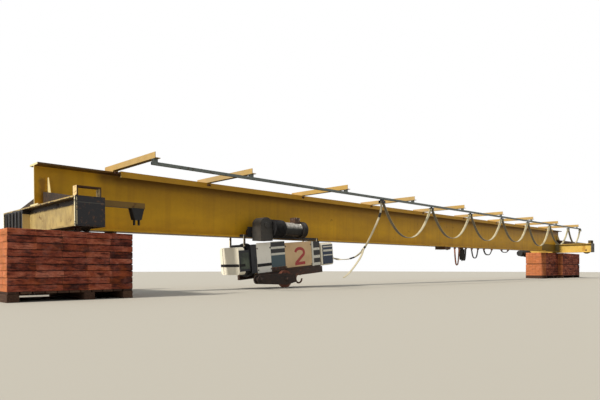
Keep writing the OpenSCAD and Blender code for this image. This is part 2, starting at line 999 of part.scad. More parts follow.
// rounded box cover of the left hoist end
module hoist_left_cover() {
  color("#e6dfc4")
    on_hoist()
      along_x(hoist_from, left_cover_l)
        rounded_rect(2 * (hoist_half_w - end_cover_in), left_cover_h, cover_r);
}

// rectangle with round corners, centred
module rounded_rect(w, h, r) {
  union() {
    square([w - 2 * r, h], center = true);
    square([w, h - 2 * r], center = true);
    for (a = both)
      for (b = both)
        translate([a * (w / 2 - r), b * (h / 2 - r)])
          circle(r = r);
  }
}

// motor barrel with the left hanger lug on top of it
module hoist_motor() {
  w = bogie_y + bogie_t;
  color("#2c2c30")
    on_hoist()
      difference() {
        union() {
          rod_x(left_cover_to, hoist_motor_l, hoist_motor_d, 0, 0);
          translate([lug_at[0][0] - lug_t / 2, -w, hoist_motor_d / 4])
            cube([lug_t, 2 * w, lug_at[0][1] + link_w / 2 - hoist_motor_d / 4]);
        }
        lug_pin_hole(0);
      }
}

// large round gearbox housing with its rim
module gearbox_flange() {
  color("#3a3a40")
    on_hoist() {
      rod_x(motor_to, flange_l - flange_rim, flange_d - flange_rim, 0, 0);
      rod_x(flange_to - flange_rim, flange_rim, flange_d, 0, 0);
    }
}

// rope drum with its grooves
module rope_drum() {
  pitch = rope_d + groove_wall;
  color("#6a665e")
    on_hoist()
      difference() {
        rod_x(flange_to, frame_from - seat - flange_to, drum_d, 0, 0);
        for (k = [0 : groove_n - 1])
          translate([flange_to + drum_l / 2 + k * pitch, 0, 0])
            rotate([0, 90, 0])
              rotate_extrude()
                translate([drum_d / 2 + rope_d / 2 - groove_d, 0])
                  circle(d = rope_d);
      }
}

// sheet cover over the front, top and back of the rope drum
module drum_cover() {
  color("#c8a078")
    on_hoist()
      along_x(flange_to, drum_l)
        difference() {
          rounded_rect(2 * hoist_half_w, cover_h, cover_r);
          rounded_rect(2 * (hoist_half_w - cover_t), cover_h - 2 * cover_t, cover_r - cover_t);
          translate([lower_frame_t - hoist_half_w, -cover_h / 2 - eps])
            square([2 * (hoist_half_w - lower_frame_t), cover_h / 2]);
        }
}

// dark frame under the drum with the end plate and its hanger lug
module hoist_lower_frame() {
  low = -cover_h / 2 - lower_frame_h;
  w = bogie_y + bogie_t;
  color("#232326")
    on_hoist()
      difference() {
        union() {
          both_sides()
            translate([flange_to, hoist_half_w - lower_frame_t, low])
              cube([frame_to - flange_to, lower_frame_t, lower_frame_h - seat]);
          translate([frame_from, -w, low])
            cube([lug_t, 2 * w, lug_at[1][1] + link_w / 2 - low]);
          translate([frame_from, -hoist_half_w, low])
            cube([lug_t, 2 * hoist_half_w, lower_frame_h - seat]);
        }
        lug_pin_hole(1);
      }
}

// right hoist end cover with its rounded corners and its boss on the end plate
module hoist_right_cover() {
  boss = right_cover_h / 2;
  color("#d8d4c6")
    on_hoist() {
      along_x(frame_to + lug_gap, right_cover_l)
        translate([0, -right_cover_drop])
          rounded_rect(2 * (hoist_half_w - end_cover_in), right_cover_h, cover_r);
      along_x(frame_to + seat, lug_gap)
        square(boss, center = true);
      rod_x(frame_to + lug_gap + right_cover_l, gland_l, gland_d, gland_at[0], gland_at[1]);
    }
}

// two boat shaped cheeks of the hook block on their pins, lying just above the ground
module hook_block() {
  color("#5a3424")
    on_crane()
      translate([0, block_y, 0]) {
        for (side = both)
          along_y(side * cheek_y - cheek_t / 2, cheek_t)
            union() {
              translate([block_x + cheek_r[0], block_z])
                circle(r = cheek_r[0]);
              polygon([
                [block_x + cheek_r[0], block_z - cheek_r[0]],
                [sheave_x, block_z - cheek_r[1]],
                [sheave_x + cheek_tail, block_z - cheek_r[2]],
                [sheave_x + cheek_tail, block_z + cheek_r[2]],
                [sheave_x, block_z + cheek_r[1]],
                [block_x + cheek_r[0], block_z + cheek_r[0]]
              ]);
            }
        for (x = [block_x + cheek_r[0], sheave_x])
          rod_y(-cheek_y, 2 * cheek_y, x < sheave_x ? spacer_d : block_pin_d, x, block_z);
      }
}

// grooved sheave on the block's pin
module block_sheave() {
  color("#6a3422")
    on_crane()
      difference() {
        rod_y(block_y - sheave_w / 2, sheave_w, sheave_d, sheave_x, block_z);
        rod_y(block_y - sheave_w, 2 * sheave_w, block_pin_d + pin_play, sheave_x, block_z);
        translate([sheave_x, block_y, block_z])
          rotate([90, 0, 0])
            rotate_extrude()
              translate([sheave_d / 2, 0])
                circle(d = rope_d + 2 * groove_wall);
      }
}

// load hook with its shank in the cross head of the block
module load_hook() {
  shank_from = sheave_x + cheek_tail - crosshead / 2;
  hook_x = shank_from + shank_l + hook_r;
  color("#3a3632")
    on_crane()
      translate([0, block_y, block_z]) {
        rod_y(-cheek_y + cheek_t / 2 + seat, 2 * cheek_y - cheek_t - 2 * seat, crosshead, shank_from, 0);
        rod_x(shank_from, shank_l, shank_d, 0, 0);
        translate([hook_x, 0, 0])
          rotate([90, 0, 0])
            rotate([0, 0, hook_mouth])
              rotate_extrude(angle = 360 - hook_mouth)
                translate([hook_r, 0])
                  circle(d = hook_d);
      }
}

// two rope falls from the drum under the frame to the sockets on the back of the block
module rope_falls() {
  socket_y = block_y + cheek_y + cheek_t / 2 + seat;
  run_z = block_z - run_drop;
  turn_z = run_z + rope_bend;
  color("#4a4844")
    on_crane()
      for (x = [block_x + rope_in, block_x + rope_in + rope_step]) {
        translate([x, rope_y, turn_z])
          cylinder(h = hoist_z - turn_z, d = rope_d);
        translate([x, rope_y - rope_bend, turn_z])
          rotate([90, 0, -90])
            rotate([0, 0, 180])
              rotate_extrude(angle = 90)
                translate([rope_bend, 0])
                  circle(d = rope_d);
        rod_y(socket_y, rope_y - rope_bend - socket_y, rope_d, x, run_z);
        rod_y(socket_y, socket_l, socket_d, x, run_z);
      }
}

// ring of a tube at point i of a route, as four to twelve points round it
function tube_ring(route, i, w, h, sides) =
  let (n = len(route) - 1)
  let (d = route[min(i + 1, n)] - route[max(i - 1, 0)])
  let (t = d / norm(d))
  let (u0 = cable_side - (cable_side * t) * t)
  let (u = u0 / norm(u0))
  let (v = cross(t, u))
  [for (k = [0 : sides - 1])
    let (a = 360 * k / sides)
    route[i] + u * (w / 2) * cos(a) + v * (h / 2) * sin(a)];

// flat or round tube swept along a route
module tube(route, w, h, sides = 10) {
  n = len(route);
  polyhedron(
    points = [for (i = [0 : n - 1]) each tube_ring(route, i, w, h, sides)],
    faces = concat(
      [[for (k = [0 : sides - 1]) k]],
      [for (i = [0 : n - 2]) for (k = [0 : sides - 1])
        let (a = i * sides, m = (k + 1) % sides)
        [a + k, a + sides + k, a + sides + m, a + m]],
      [[for (k = [sides - 1 : -1 : 0]) (n - 1) * sides + k]]
    )
  );
}

// cable from the towed cable trolley to the gland on the hoist
module tow_cable() {
  color("#d6cba4")
    on_crane()
      tube(tow_route, tow_w, cable_t);
}

// slack cable end tied to the tow cable
module slack_cable() {
  color("#d6cba4")
    on_crane()
      tube(slack_route, slack_w, cable_t);
}

// outline of one hanging loop, its top at zero
function hang(span, drop, flip) =
  [for (s = [0 : loop_steps])
    let (a = 2 * s / loop_steps - 1)
    [flip * a * span / 2, -drop * (1 - pow(abs(a), spare_power))]];

// one spare cable loop with its middle, span and drop
module spare_loop(middle, span, drop) {
  translate([middle, 0, spare_top])
    along_y(spare_y - spare_w / 2, spare_w)
      polygon(concat(hang(span, drop, 1), hang(span - 2 * spare_t, drop - spare_t, -1)));
}

// spare cable hung in loops along the far edge of the bottom flange
module spare_cables() {
  color("#2a2826")
    on_crane()
      for (loop = spare_loops)
        spare_loop(loop[0], loop[1], loop[2]);
}

// clips on the far flange edge that carry both ends of each spare loop
module spare_clips() {
  color("#3a3632")
    on_crane()
      for (loop = spare_loops)
        for (from = [loop[0] - loop[1] / 2, loop[0] + loop[1] / 2 - spare_t])
          translate([from, half_flange + seat, spare_top + seat])
            cube([spare_t, spare_y + spare_w / 2 - half_flange, flange_t - spare_top - seat]);
}

// plates under the bottom flange that stop the trolley
module end_stops() {
  color("#3a3632")
    on_crane()
      for (k = [0, 1])
        translate([stop_x[k], -half_flange, -stop_h])
          cube([stop_l[k], flange_w, stop_h]);
}

// brick packs that the crane stands on
module brick_packs() {
  left_h = course_h * left_courses;
  tier_h = tier_courses * course_h;
  color("#8a4636")
    translate([-centre_x, 0, pallet_h]) {
      translate([left_pack_from, -left_pack_in - left_pack_l, 0])
        cube([left_pack_w, left_pack_l, left_h]);
      translate([left_pack_from, left_pack_in, 0])
        cube([left_far_w, left_pack_l, left_h]);
      for (tier = [0, 1]) {
        translate([right_a_from, right_a_y, tier * (tier_h + tier_board)])
          cube([right_a_w, right_a_l, tier_h]);
        translate([right_b_from, right_b_y, tier * (tier_h + tier_board)])
          cube([right_b_w, right_b_l, tier_h]);
      }
    }
}

// deck and bearers of one pallet
module pallet(x, y, w, l) {
  translate([x, y, pallet_h - deck_t])
    cube([w, l, deck_t]);
  for (share = [0, bearer_mid, 1])
    translate([x + share * (w - bearer_w), y, 0])
      cube([bearer_w, l, pallet_h - deck_t]);
}

// pallets under the packs and boards between the tiers
module pallets() {
  tier_h = tier_courses * course_h;
  color("#4a3a2c")
    translate([-centre_x, 0, 0]) {
      pallet(left_pack_from, -left_pack_in - left_pack_l, left_pack_w, left_pack_l);
      pallet(left_pack_from, left_pack_in, left_far_w, left_pack_l);
      pallet(right_a_from, right_a_y, right_a_w, right_a_l);
      pallet(right_b_from, right_b_y, right_b_w, right_b_l);
      translate([right_a_from, right_a_y, pallet_h + tier_h])
        cube([right_a_w, right_a_l, tier_board]);
      translate([right_b_from, right_b_y, pallet_h + tier_h])
        cube([right_b_w, right_b_l, tier_board]);
    }
}

main_girder();
cap_channel();
web_gussets();
carriage_channels();
carriage_end_plates();
carriage_haunches();
carriage_wheels();
wheel_boxes();
travel_drives();
end_bows();
switch_bracket();
limit_switch();
festoon_arms();
festoon_rail();
rail_hangers();
cable_end_clamp();
tow_carrier();
carrier(2);  // carrier_2
carrier(3);  // carrier_3
carrier(4);  // carrier_4
carrier(5);  // carrier_5
carrier(6);  // carrier_6
carrier(7);  // carrier_7
cable_loop(1);  // cable_loop_1
cable_loop(2);  // cable_loop_2
cable_loop(3);  // cable_loop_3
cable_loop(4);  // cable_loop_4
cable_loop(5);  // cable_loop_5
cable_loop(6);  // cable_loop_6
cable_loop(7);  // cable_loop_7
trolley_bogies();
trolley_wheels();
travel_gearbox();
travel_motor();
hoist_hangers();
hoist_left_cover();
hoist_motor();
gearbox_flange();
rope_drum();
drum_cover();
hoist_lower_frame();
hoist_right_cover();
hook_block();
block_sheave();
load_hook();
rope_falls();
tow_cable();
slack_cable();
spare_cables();
spare_clips();
end_stops();
brick_packs();
pallets();
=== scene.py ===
"""Looks of an overhead bridge crane that is set down on packs of bricks.

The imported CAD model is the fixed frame. This script gives each of its surfaces a finish and adds
what CAD leaves plain: bricks, boards, flat cables, panels, bolts and welds. Lengths are in metres.
"""

import itertools
import math
from functools import partial

import bpy
import numpy as np
from bpy.props import FloatProperty, FloatVectorProperty, PointerProperty
from mathutils import Euler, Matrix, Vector

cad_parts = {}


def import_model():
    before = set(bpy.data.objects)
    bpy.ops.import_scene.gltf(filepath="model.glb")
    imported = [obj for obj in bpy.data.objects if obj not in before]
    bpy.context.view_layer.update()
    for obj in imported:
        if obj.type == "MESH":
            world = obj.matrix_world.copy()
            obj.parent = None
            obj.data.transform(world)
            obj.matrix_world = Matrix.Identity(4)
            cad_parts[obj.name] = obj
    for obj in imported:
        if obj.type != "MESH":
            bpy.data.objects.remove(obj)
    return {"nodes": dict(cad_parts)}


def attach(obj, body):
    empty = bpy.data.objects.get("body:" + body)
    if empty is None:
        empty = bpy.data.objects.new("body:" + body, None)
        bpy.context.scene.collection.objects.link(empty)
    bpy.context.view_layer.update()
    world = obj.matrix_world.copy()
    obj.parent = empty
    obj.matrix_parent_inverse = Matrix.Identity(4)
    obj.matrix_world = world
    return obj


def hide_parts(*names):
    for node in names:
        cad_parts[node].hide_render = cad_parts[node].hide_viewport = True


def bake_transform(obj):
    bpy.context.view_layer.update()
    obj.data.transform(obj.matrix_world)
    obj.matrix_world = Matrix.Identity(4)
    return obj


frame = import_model()

bl_info = {
    "name": "Bridge crane looks",
    "version": (1, 0, 0),
    "blender": (4, 5, 0),
    "location": "3D View > Sidebar > Crane",
    "description": "Finishes and detail for an overhead bridge crane on brick packs",
    "category": "Object",
}

# The crane stands a little askew, its right end higher. These place its own frame in the world.
PIVOT_X = 0.105
CENTRE_X = 9.660
STAND_TOP = 0.703
WHEEL_BOTTOM = -0.090
SLOPE = math.radians(0.5546)

# The hoist hangs with its left end low.
HOIST_X = 3.400
HOIST_Z = -0.340
HOIST_PITCH = math.radians(4.5)

# Girder and carriages, in the crane frame
GIRDER_LEN = 18.080
WEB_T = 0.014
CARRIAGE_TOP = 0.270

# Festoon row, in the crane frame
ARM_X = [0.900] + [2.330 + 2.000 * k for k in range(8)]
RAIL_Y = -1.130
TOW_X = 5.360
CLAMP_X = 16.690
CLAMP_GAP = 1.220
CARRIERS = 7
CARRIER_PITCH = (CLAMP_X - TOW_X - CLAMP_GAP) / (CARRIERS - 1)
CABLE_TOP = 0.6777
CABLE_W = 0.056
CABLE_T = 0.014
CABLE_PLAY = 0.001
CABLE_CORES = 5
LOOP_LOW = [0.060, 0.110, 0.110, 0.130, 0.070, 0.150, 0.230]
LOOP_IN = 0.020
LOOP_POWER = 2.2

# The two bodies that each flat cable loop hangs between
LOOP_BODIES = [
    ("trolley", "carrier_2"),
    ("carrier_2", "carrier_3"),
    ("carrier_3", "carrier_4"),
    ("carrier_4", "carrier_4"),
    ("carrier_5", "carrier_6"),
    ("carrier_6", "carrier_7"),
    ("carrier_7", "crane"),
]

# Route of the tow cable, in the crane frame
TOW_LENGTH = 1.650
TOW_W = 0.036
TOW_ROUTE = [
    (5.338, -1.130, 0.678), (5.338, -1.130, 0.620), (5.334, -1.130, 0.550), (5.324, -1.122, 0.470),
    (5.312, -1.100, 0.390), (5.304, -1.065, 0.310), (5.304, -1.020, 0.230), (5.310, -0.965, 0.145),
    (5.318, -0.905, 0.060), (5.326, -0.845, -0.025), (5.332, -0.780, -0.110), (5.334, -0.705, -0.190),
    (5.330, -0.620, -0.258), (5.322, -0.530, -0.305), (5.306, -0.440, -0.332), (5.275, -0.358, -0.343),
    (5.230, -0.285, -0.344), (5.178, -0.228, -0.336), (5.135, -0.198, -0.323), (5.098, -0.190, -0.317),
]
CABLE_SIDE = (0.7, -0.71, 0.0)

# Stretches of that route that are wrapped in tape, by their points, and how far the tape stands out
TAPED = ((3, 4), (10, 11), (13, 14))
TAPE_OUT = 0.006

# Route of the slack cable end, in the crane frame
SLACK_LENGTH = 0.811
SLACK_W = 0.034
SLACK_ROUTE = [
    (5.322, -0.748, -0.140), (5.316, -0.742, -0.180), (5.300, -0.736, -0.230), (5.276, -0.728, -0.280),
    (5.244, -0.720, -0.330), (5.204, -0.714, -0.378), (5.158, -0.710, -0.424), (5.108, -0.708, -0.470),
    (5.054, -0.708, -0.514), (4.998, -0.710, -0.556), (4.938, -0.714, -0.594), (4.874, -0.720, -0.626),
    (4.810, -0.728, -0.652), (4.760, -0.736, -0.668),
]

# Spare cable on the far flange edge: middle, span and drop of each loop
SPARE_LOOPS = [
    (10.080, 0.240, 0.040), (10.590, 0.280, 0.450), (10.800, 0.120, 0.300), (10.990, 0.240, 0.320),
    (10.880, 0.100, 0.330), (10.930, 0.160, 0.290), (11.640, 0.420, 0.255), (12.480, 0.560, 0.155),
    (13.680, 0.520, 0.070),
]
SPARE_Y = 0.165
SPARE_TOP = -0.030
SPARE_BAND = 0.036
SPARE_POWER = 3.0
SPARE_COUNT = 7
SPARE_STEP = 0.0036
SPARE_RADII = (0.009, 0.007)
ORANGE_LOOP = 1
ORANGE_COUNT = 5

# Packs of bricks, in the world: corner, size, courses and tiers
COURSE_H = 0.067
PALLET_H = 0.100
DECK_T = 0.022
BEARER_W = 0.110
BEARER_AT = (0.0, 0.63, 1.0)
TIER_BOARD = 0.020
TIER_INSET = 0.022
PACKS = [
    {"x": -0.620, "y": -1.200, "w": 1.240, "l": 1.000, "courses": 9, "tiers": 1},
    {"x": -0.620, "y": 0.200, "w": 0.900, "l": 1.000, "courses": 9, "tiers": 1},
    {"x": 16.700, "y": -0.040, "w": 1.250, "l": 0.700, "courses": 6, "tiers": 2},
    {"x": 17.950, "y": -0.200, "w": 1.990, "l": 0.860, "courses": 6, "tiers": 2},
]

# How the bricks differ: their ends, the share of the joint that each gap is, how far they stand
# back, and the middle and spread of their tones. The heart of a pack is further in, its near-black tone
# painted shade deep in the joints.
BRICK_UNEVEN = 0.018
GAP_SHARE = ((0.1, 0.1, 0.9), (0.3, 0.3, 1.9))
RECESS = 0.005
TONE = (0.36, 0.10)
BRICK_CHAMFER = 0.0035
CORE_INSET = 0.007
CORE_SHADE_TONE = -0.6

# Camera that matches the photograph's viewing angle
CAMERA_AT = (-11.696, -6.397, 0.309)
CAMERA_TURN = math.radians(-45.43)
CAMERA_LENS = 30.373
CAMERA_SENSOR = 36.0
CAMERA_SHIFT = (-0.0017, 0.116)
CAMERA_REACH = 200.0

# The sun's light goes along the row from its left end, and down. The sky is a soft fill.
SUN_PATH = (0.82, -0.03, -0.57)
SUN_POWER = 3.9
SUN_WIDTH = math.radians(6)
SUN_COLOUR = (1.0, 0.95, 0.86)
SKY_COLOUR = (0.93, 0.96, 1.0, 1.0)
SKY_POWER = 0.47
FLOOR_REACH = 60.0

# Hoist panels, in the hoist's frame: the planes that they lie on along Y, and their thickness
HOIST_FRONT = -0.260
PANEL_T = 0.003
HOIST_OVER = HOIST_FRONT - PANEL_T
COVER_SIDE = -0.235
COVER_OVER = COVER_SIDE - PANEL_T
BAR_T = 0.0015
LEFT_FROM = -0.550
LEFT_TO = -0.430
RIGHT_FROM = 1.338
RIGHT_TO = 1.652

# Name, finish, slot, plane, thickness and rectangles of each panel. A rectangle is from and to
# along X, then along Z. A fifth number is a thickness of its own.
HOIST_PANELS = [
    ("charcoal_hoist_panel", "flange", "dark_paint", HOIST_FRONT, PANEL_T, [(-0.322, -0.208, -0.212, 0.245)]),
    ("grey_hoist_panel", "grey_panel", "cream_paint", HOIST_FRONT, PANEL_T, [(-0.205, 0.097, -0.218, 0.262)]),
    ("label_hoist_panel", "teal", "dark_paint", HOIST_FRONT, PANEL_T, [(0.100, 0.415, -0.150, 0.268)]),
    ("label_foot", "frame", "dark_paint", HOIST_FRONT, PANEL_T,
     [(0.100, 0.415, -0.215, -0.152), (0.420, 1.275, -0.222, -0.188)]),
    ("label_white_bars", "white_stripe", "cream_paint", HOIST_OVER, BAR_T,
     [(0.102, 0.413, 0.258, 0.268), (0.102, 0.413, 0.148, 0.184), (0.102, 0.413, 0.044, 0.080)]),
    ("label_dark_bars", "black_stripe", "dark_paint", HOIST_OVER, BAR_T,
     [(0.102, 0.413, 0.186, 0.256), (0.102, 0.413, 0.082, 0.146)]),
    ("tan_hoist_panel", "tan", "tan_paint", HOIST_FRONT, PANEL_T, [(0.420, 1.060, -0.185, 0.235)]),
    ("black_hoist_stripes", "black_stripe", "dark_paint", HOIST_FRONT, PANEL_T,
     [(1.066, 1.276, -0.205, 0.225)]),
    ("white_hoist_stripes", "white_stripe", "cream_paint", HOIST_OVER, BAR_T,
     [(1.068, 1.274, 0.070, 0.112), (1.068, 1.274, -0.070, -0.020), (1.068, 1.274, -0.200, -0.150),
      (1.068, 1.110, -0.205, 0.225, 0.0012)]),
    ("cover_strap", "rubber", "dark_paint", HOIST_OVER, 0.004, [(-0.205, 0.097, -0.119, -0.070)]),
    ("left_cover_side", "flange", "dark_paint", COVER_SIDE, PANEL_T,
     [(LEFT_FROM + 0.006, -0.325, -0.165, 0.165)]),
    ("left_cover_label", "worn_label", "dark_paint", COVER_OVER, BAR_T, [(-0.515, -0.345, -0.130, 0.125)]),
    ("right_cover_side", "navy", "dark_paint", COVER_SIDE, PANEL_T,
     [(RIGHT_FROM + 0.040, RIGHT_TO - 0.002, -0.200, 0.150)]),
    ("right_cover_bars", "white_stripe", "cream_paint", COVER_OVER, BAR_T,
     [(RIGHT_FROM + 0.060, RIGHT_TO - 0.006, low, high)
      for low, high in ((0.104, 0.124), (0.026, 0.062), (-0.050, -0.030))]),
]

# The numeral's lower left corner, width and height, and the width and thickness of its strokes
NUMERAL_AT = (0.622, -0.160)
NUMERAL_SIZE = (0.280, 0.300)
STROKE = (0.052, 0.0024)
STROKE_LIFT = 0.0006

# Strap round the left cover, and the seams down its end: height and length of each
STRAP_Z = -0.068
STRAP_W = 0.044
STRAP_T = 0.003
STRAP_ROUND = 0.462
SEAM_Y = 0.165
SEAM_W = 0.009
SEAM_T = 0.002
SEAMS = ((0.080, 0.250), (-0.148, 0.116))

# Travel motor, in the crane frame: its axis, the ends of its parts along X, and its fins
MOTOR_Y = -0.3208
MOTOR_Z = 0.150
MOTOR_X = (3.425, 3.685, 4.065, 4.185)
MOTOR_R = 0.120
FIN_R = 0.142
FIN_CORE = 0.098
FIN_PITCH = 0.0278
FIN_T = 0.010

# Its terminal box and the lid of it: centre, size and chamfer
TERMINAL_BOX = [((3.990, MOTOR_Y, 0.2955), (0.130, 0.120, 0.109), 0.006),
                ((3.990, MOTOR_Y, 0.3465), (0.124, 0.114, 0.007), 0.002)]

# Screws of the hoist covers, in the hoist's frame
SCREW_X = (-0.190, 0.085, 0.430, 1.050)
SCREW_Z = (-0.170, 0.175)

# Bolts on the travel gearbox: its face and axis, their circle, and the two rows under it
GEARBOX_FACE = -0.3818
GEARBOX_AT = (3.300, 0.190)
BOLT_CIRCLE = 0.104
LOW_BOLTS_Z = (0.100, 0.010, -0.035)
BEARING_CAP = [(0, 0.046), (0.010, 0.046), (0.014, 0.042), (0.014, 0.020), (0.018, 0.018)]

# Bolts of the festoon arms, of the hook block, of the trolley's axles and of the cable saddles
ARM_BOLT_X = (0.020, 0.050)
ARM_BOLT_Y = -0.150
ARM_BOLT_Z = 0.748
BLOCK_PINS = [(3.130, -0.6696), (3.6796, -0.6696)]
BLOCK_FACES = (-0.4430, -0.3270)
BOGIE_FACE = 0.1715
AXLE_X = [3.175, 3.425, 3.875, 4.125]
AXLE_Z = 0.085
SADDLE_FACE = -1.166
SADDLE_Z = 0.658
SADDLE_STEP = 0.020

# Ribs on the end of the wheel box: their places along Y, then X, Z and size
RIB_Y = np.linspace(0.500, 1.030, 5)
RIB_X = -0.009
RIB_Z = 0.115
RIB_SIZE = (0.014, 0.016, 0.250)

# Travel drives' motors: axis, start, radius and fins
DRIVE_Y = 1.000
DRIVE_Z = -0.045
DRIVE_X = 0.530
DRIVE_LEN = 0.390
DRIVE_R = 0.105
DRIVE_FINS = 13
DRIVE_PITCH = 0.028

# Feet of the haunches on the carriage tops, and the gussets on the web
HAUNCH_X = (0.098, 0.212)
HAUNCH_Y = (0.150, 0.950)
GUSSET_X = (0.149, 0.161)
GUSSET_Z = (0.292, 0.452)


def linear(code):
    """Linear colour, with alpha, of an sRGB hex code."""
    v = [int(code[k:k + 2], 16) / 255 for k in (1, 3, 5)]
    return tuple(c / 12.92 if c <= 0.04045 else ((c + 0.055) / 1.055) ** 2.4 for c in v) + (1.0,)


class CraneSettings(bpy.types.PropertyGroup):
    """Sizes and amounts that the operators read."""

    brick_length: FloatProperty(
        name="Brick length", description="Length of one brick", default=0.25, unit="LENGTH")
    brick_width: FloatProperty(
        name="Brick width", description="Width of one brick", default=0.12, unit="LENGTH")
    brick_joint: FloatProperty(
        name="Brick joint", description="Mean gap between two bricks", default=0.006, unit="LENGTH")
    board_width: FloatProperty(
        name="Board width", description="Width of a pallet board", default=0.118, unit="LENGTH")
    bolt_size: FloatProperty(
        name="Bolt size", description="Width over the flats of a plain bolt head", default=0.024,
        unit="LENGTH")
    rust: FloatProperty(
        name="Rust", description="How much rust shows through the enamel", default=0.5,
        min=0.0, max=1.0, subtype="FACTOR")


class CraneColours(bpy.types.PropertyGroup):
    """Colours of the main paints and cables."""

    girder: FloatVectorProperty(
        name="Girder", description="Enamel of the girder's web", default=linear("#DAA40C")[:3],
        subtype="COLOR")
    cap: FloatVectorProperty(
        name="Cap channel", description="Enamel of the channel on the girder",
        default=linear("#C4921E")[:3], subtype="COLOR")
    carriage: FloatVectorProperty(
        name="End carriages", description="Enamel of the end carriages", default=linear("#BCA05C")[:3],
        subtype="COLOR")
    arm: FloatVectorProperty(
        name="Festoon arms", description="Enamel of the arms that carry the rail",
        default=linear("#B8954F")[:3], subtype="COLOR")
    cover: FloatVectorProperty(
        name="End covers", description="Enamel of the hoist's end covers", default=linear("#F6EFDA")[:3],
        subtype="COLOR")
    drum_sheet: FloatVectorProperty(
        name="Drum cover", description="Enamel of the sheet over the rope drum",
        default=linear("#DCBA8C")[:3], subtype="COLOR")
    numeral: FloatVectorProperty(
        name="Numeral", description="Paint of the hoist's number", default=linear("#A93230")[:3],
        subtype="COLOR")
    cable: FloatVectorProperty(
        name="Flat cable", description="Sheath of the festoon cables", default=linear("#D3C8A2")[:3],
        subtype="COLOR")


def settings():
    """The scene's settings for this crane."""
    return bpy.context.scene.crane_looks


# Places

def crane(points):
    """World places of points in the crane frame: a turn by the slope about the left wheel's foot."""
    p = np.asarray(points, float).reshape(-1, 3)
    u, v = p[:, 0] - PIVOT_X, p[:, 2] - WHEEL_BOTTOM
    c, s = math.cos(SLOPE), math.sin(SLOPE)
    return np.stack([PIVOT_X - CENTRE_X + u * c - v * s, p[:, 1], STAND_TOP + u * s + v * c], axis=1)


def hoist(points):
    """World places of points in the hoist's own frame: a turn by its pitch, then crane()."""
    p = np.asarray(points, float).reshape(-1, 3)
    c, s = math.cos(HOIST_PITCH), math.sin(HOIST_PITCH)
    x = HOIST_X + p[:, 0] * c - p[:, 2] * s
    z = HOIST_Z + p[:, 0] * s + p[:, 2] * c
    return crane(np.stack([x, p[:, 1], z], axis=1))


def world(points):
    """Points whose X counts from the left girder end, placed upright in the world."""
    p = np.asarray(points, float).reshape(-1, 3).copy()
    p[:, 0] -= CENTRE_X
    return p


# Surfaces. A part is a pair: its points and a list of face arrays. A box has three points a corner.
BOX_POINTS = 24


def join(parts):
    """One part from many: their points one after another, each part's faces counted on."""
    points, faces, count = [], {}, 0
    for p, groups in parts:
        for g in groups:
            faces.setdefault(g.shape[1], []).append(g + count)
        points.append(p)
        count += len(p)
    return np.concatenate(points), [np.concatenate(g) for g in faces.values()]


def move(part, place):
    """The part with its points put through a place function."""
    return place(part[0]), part[1]


def boxes(centres, sizes, chamfer=0.002):
    """Boxes with chamfered edges.

    Each corner is three points, one on each of its sides: centre + sign * half size, less the
    chamfer along that side's two axes. A side, an edge and a corner each lie one way of -1, 0 and 1
    along the axes, and each is the ring of the points that lie furthest that way.
    """
    centres = np.asarray(centres, float).reshape(-1, 3)
    sizes = np.broadcast_to(np.asarray(sizes, float), centres.shape)
    sign = np.repeat(list(itertools.product((-1.0, 1.0), repeat=3)), 3, axis=0)
    side = np.tile(np.eye(3), (8, 1))
    chamfer = np.minimum(chamfer, sizes.min(axis=1) * 0.3)
    p = centres[:, None] + sign * sizes[:, None] / 2 - sign * (1 - side) * chamfer[:, None, None]
    unit = sign * (2 + side)
    rings = {4: [], 3: []}
    for way in itertools.product((-1, 0, 1), repeat=3):
        reach = unit @ way
        ring = np.flatnonzero(reach == reach.max())
        if any(way):
            across = np.cross(way, (0.3, 0.5, 0.8))
            angle = np.arctan2(unit[ring] @ np.cross(way, across), unit[ring] @ across)
            rings[len(ring)].append(ring[np.argsort(angle)])
    step = np.arange(len(centres))[:, None, None] * len(unit)
    return p.reshape(-1, 3), [(np.array(r)[None] + step).reshape(-1, n) for n, r in rings.items()]


def skin(rings, count):
    """Faces of a tube: four points to a face from each ring to the next, and a cap at both ends."""
    a = np.arange((rings - 1) * count).reshape(-1, count)
    b = np.roll(a, -1, axis=1)
    caps = np.stack([np.arange(count)[::-1], np.arange(count) + (rings - 1) * count])
    return [np.stack([a, b, b + count, a + count], axis=-1).reshape(-1, 4), caps]


def sweep(section, path, side):
    """A closed section carried along a path.

    A section point (a, b) goes to path + a * across + b * normal. Across is the side direction
    made square to the path, and normal is the tangent crossed with it.
    """
    path, section = np.asarray(path, float), np.asarray(section, float)
    tangent = np.gradient(path, axis=0)
    tangent /= np.linalg.norm(tangent, axis=1)[:, None]
    side = np.broadcast_to(np.asarray(side, float), path.shape)
    across = side - (tangent * side).sum(axis=1)[:, None] * tangent
    across /= np.linalg.norm(across, axis=1)[:, None]
    normal = np.cross(tangent, across)
    p = path[:, None] + section[None, :, :1] * across[:, None] + section[None, :, 1:] * normal[:, None]
    return p.reshape(-1, 3), skin(len(path), len(section))


def lathe(profile, sides=32):
    """A profile of (height, radius) points turned about the Z axis, closed at both ends."""
    profile = np.asarray(profile, float)
    angle = np.arange(sides) * math.tau / sides
    xy = profile[:, None, 1:] * np.stack([np.cos(angle), np.sin(angle)], axis=1)[None]
    z = np.broadcast_to(profile[:, None, :1], (len(profile), sides, 1))
    return np.concatenate([xy, z], axis=2).reshape(-1, 3), skin(len(profile), sides)


# A part's own X, Y and Z, as rows, when its Z looks the way that is named
FACING = {
    "-Y": ((1, 0, 0), (0, 0, 1), (0, -1, 0)),
    "+Y": ((1, 0, 0), (0, 0, -1), (0, 1, 0)),
    "+X": ((0, 1, 0), (0, 0, 1), (1, 0, 0)),
}


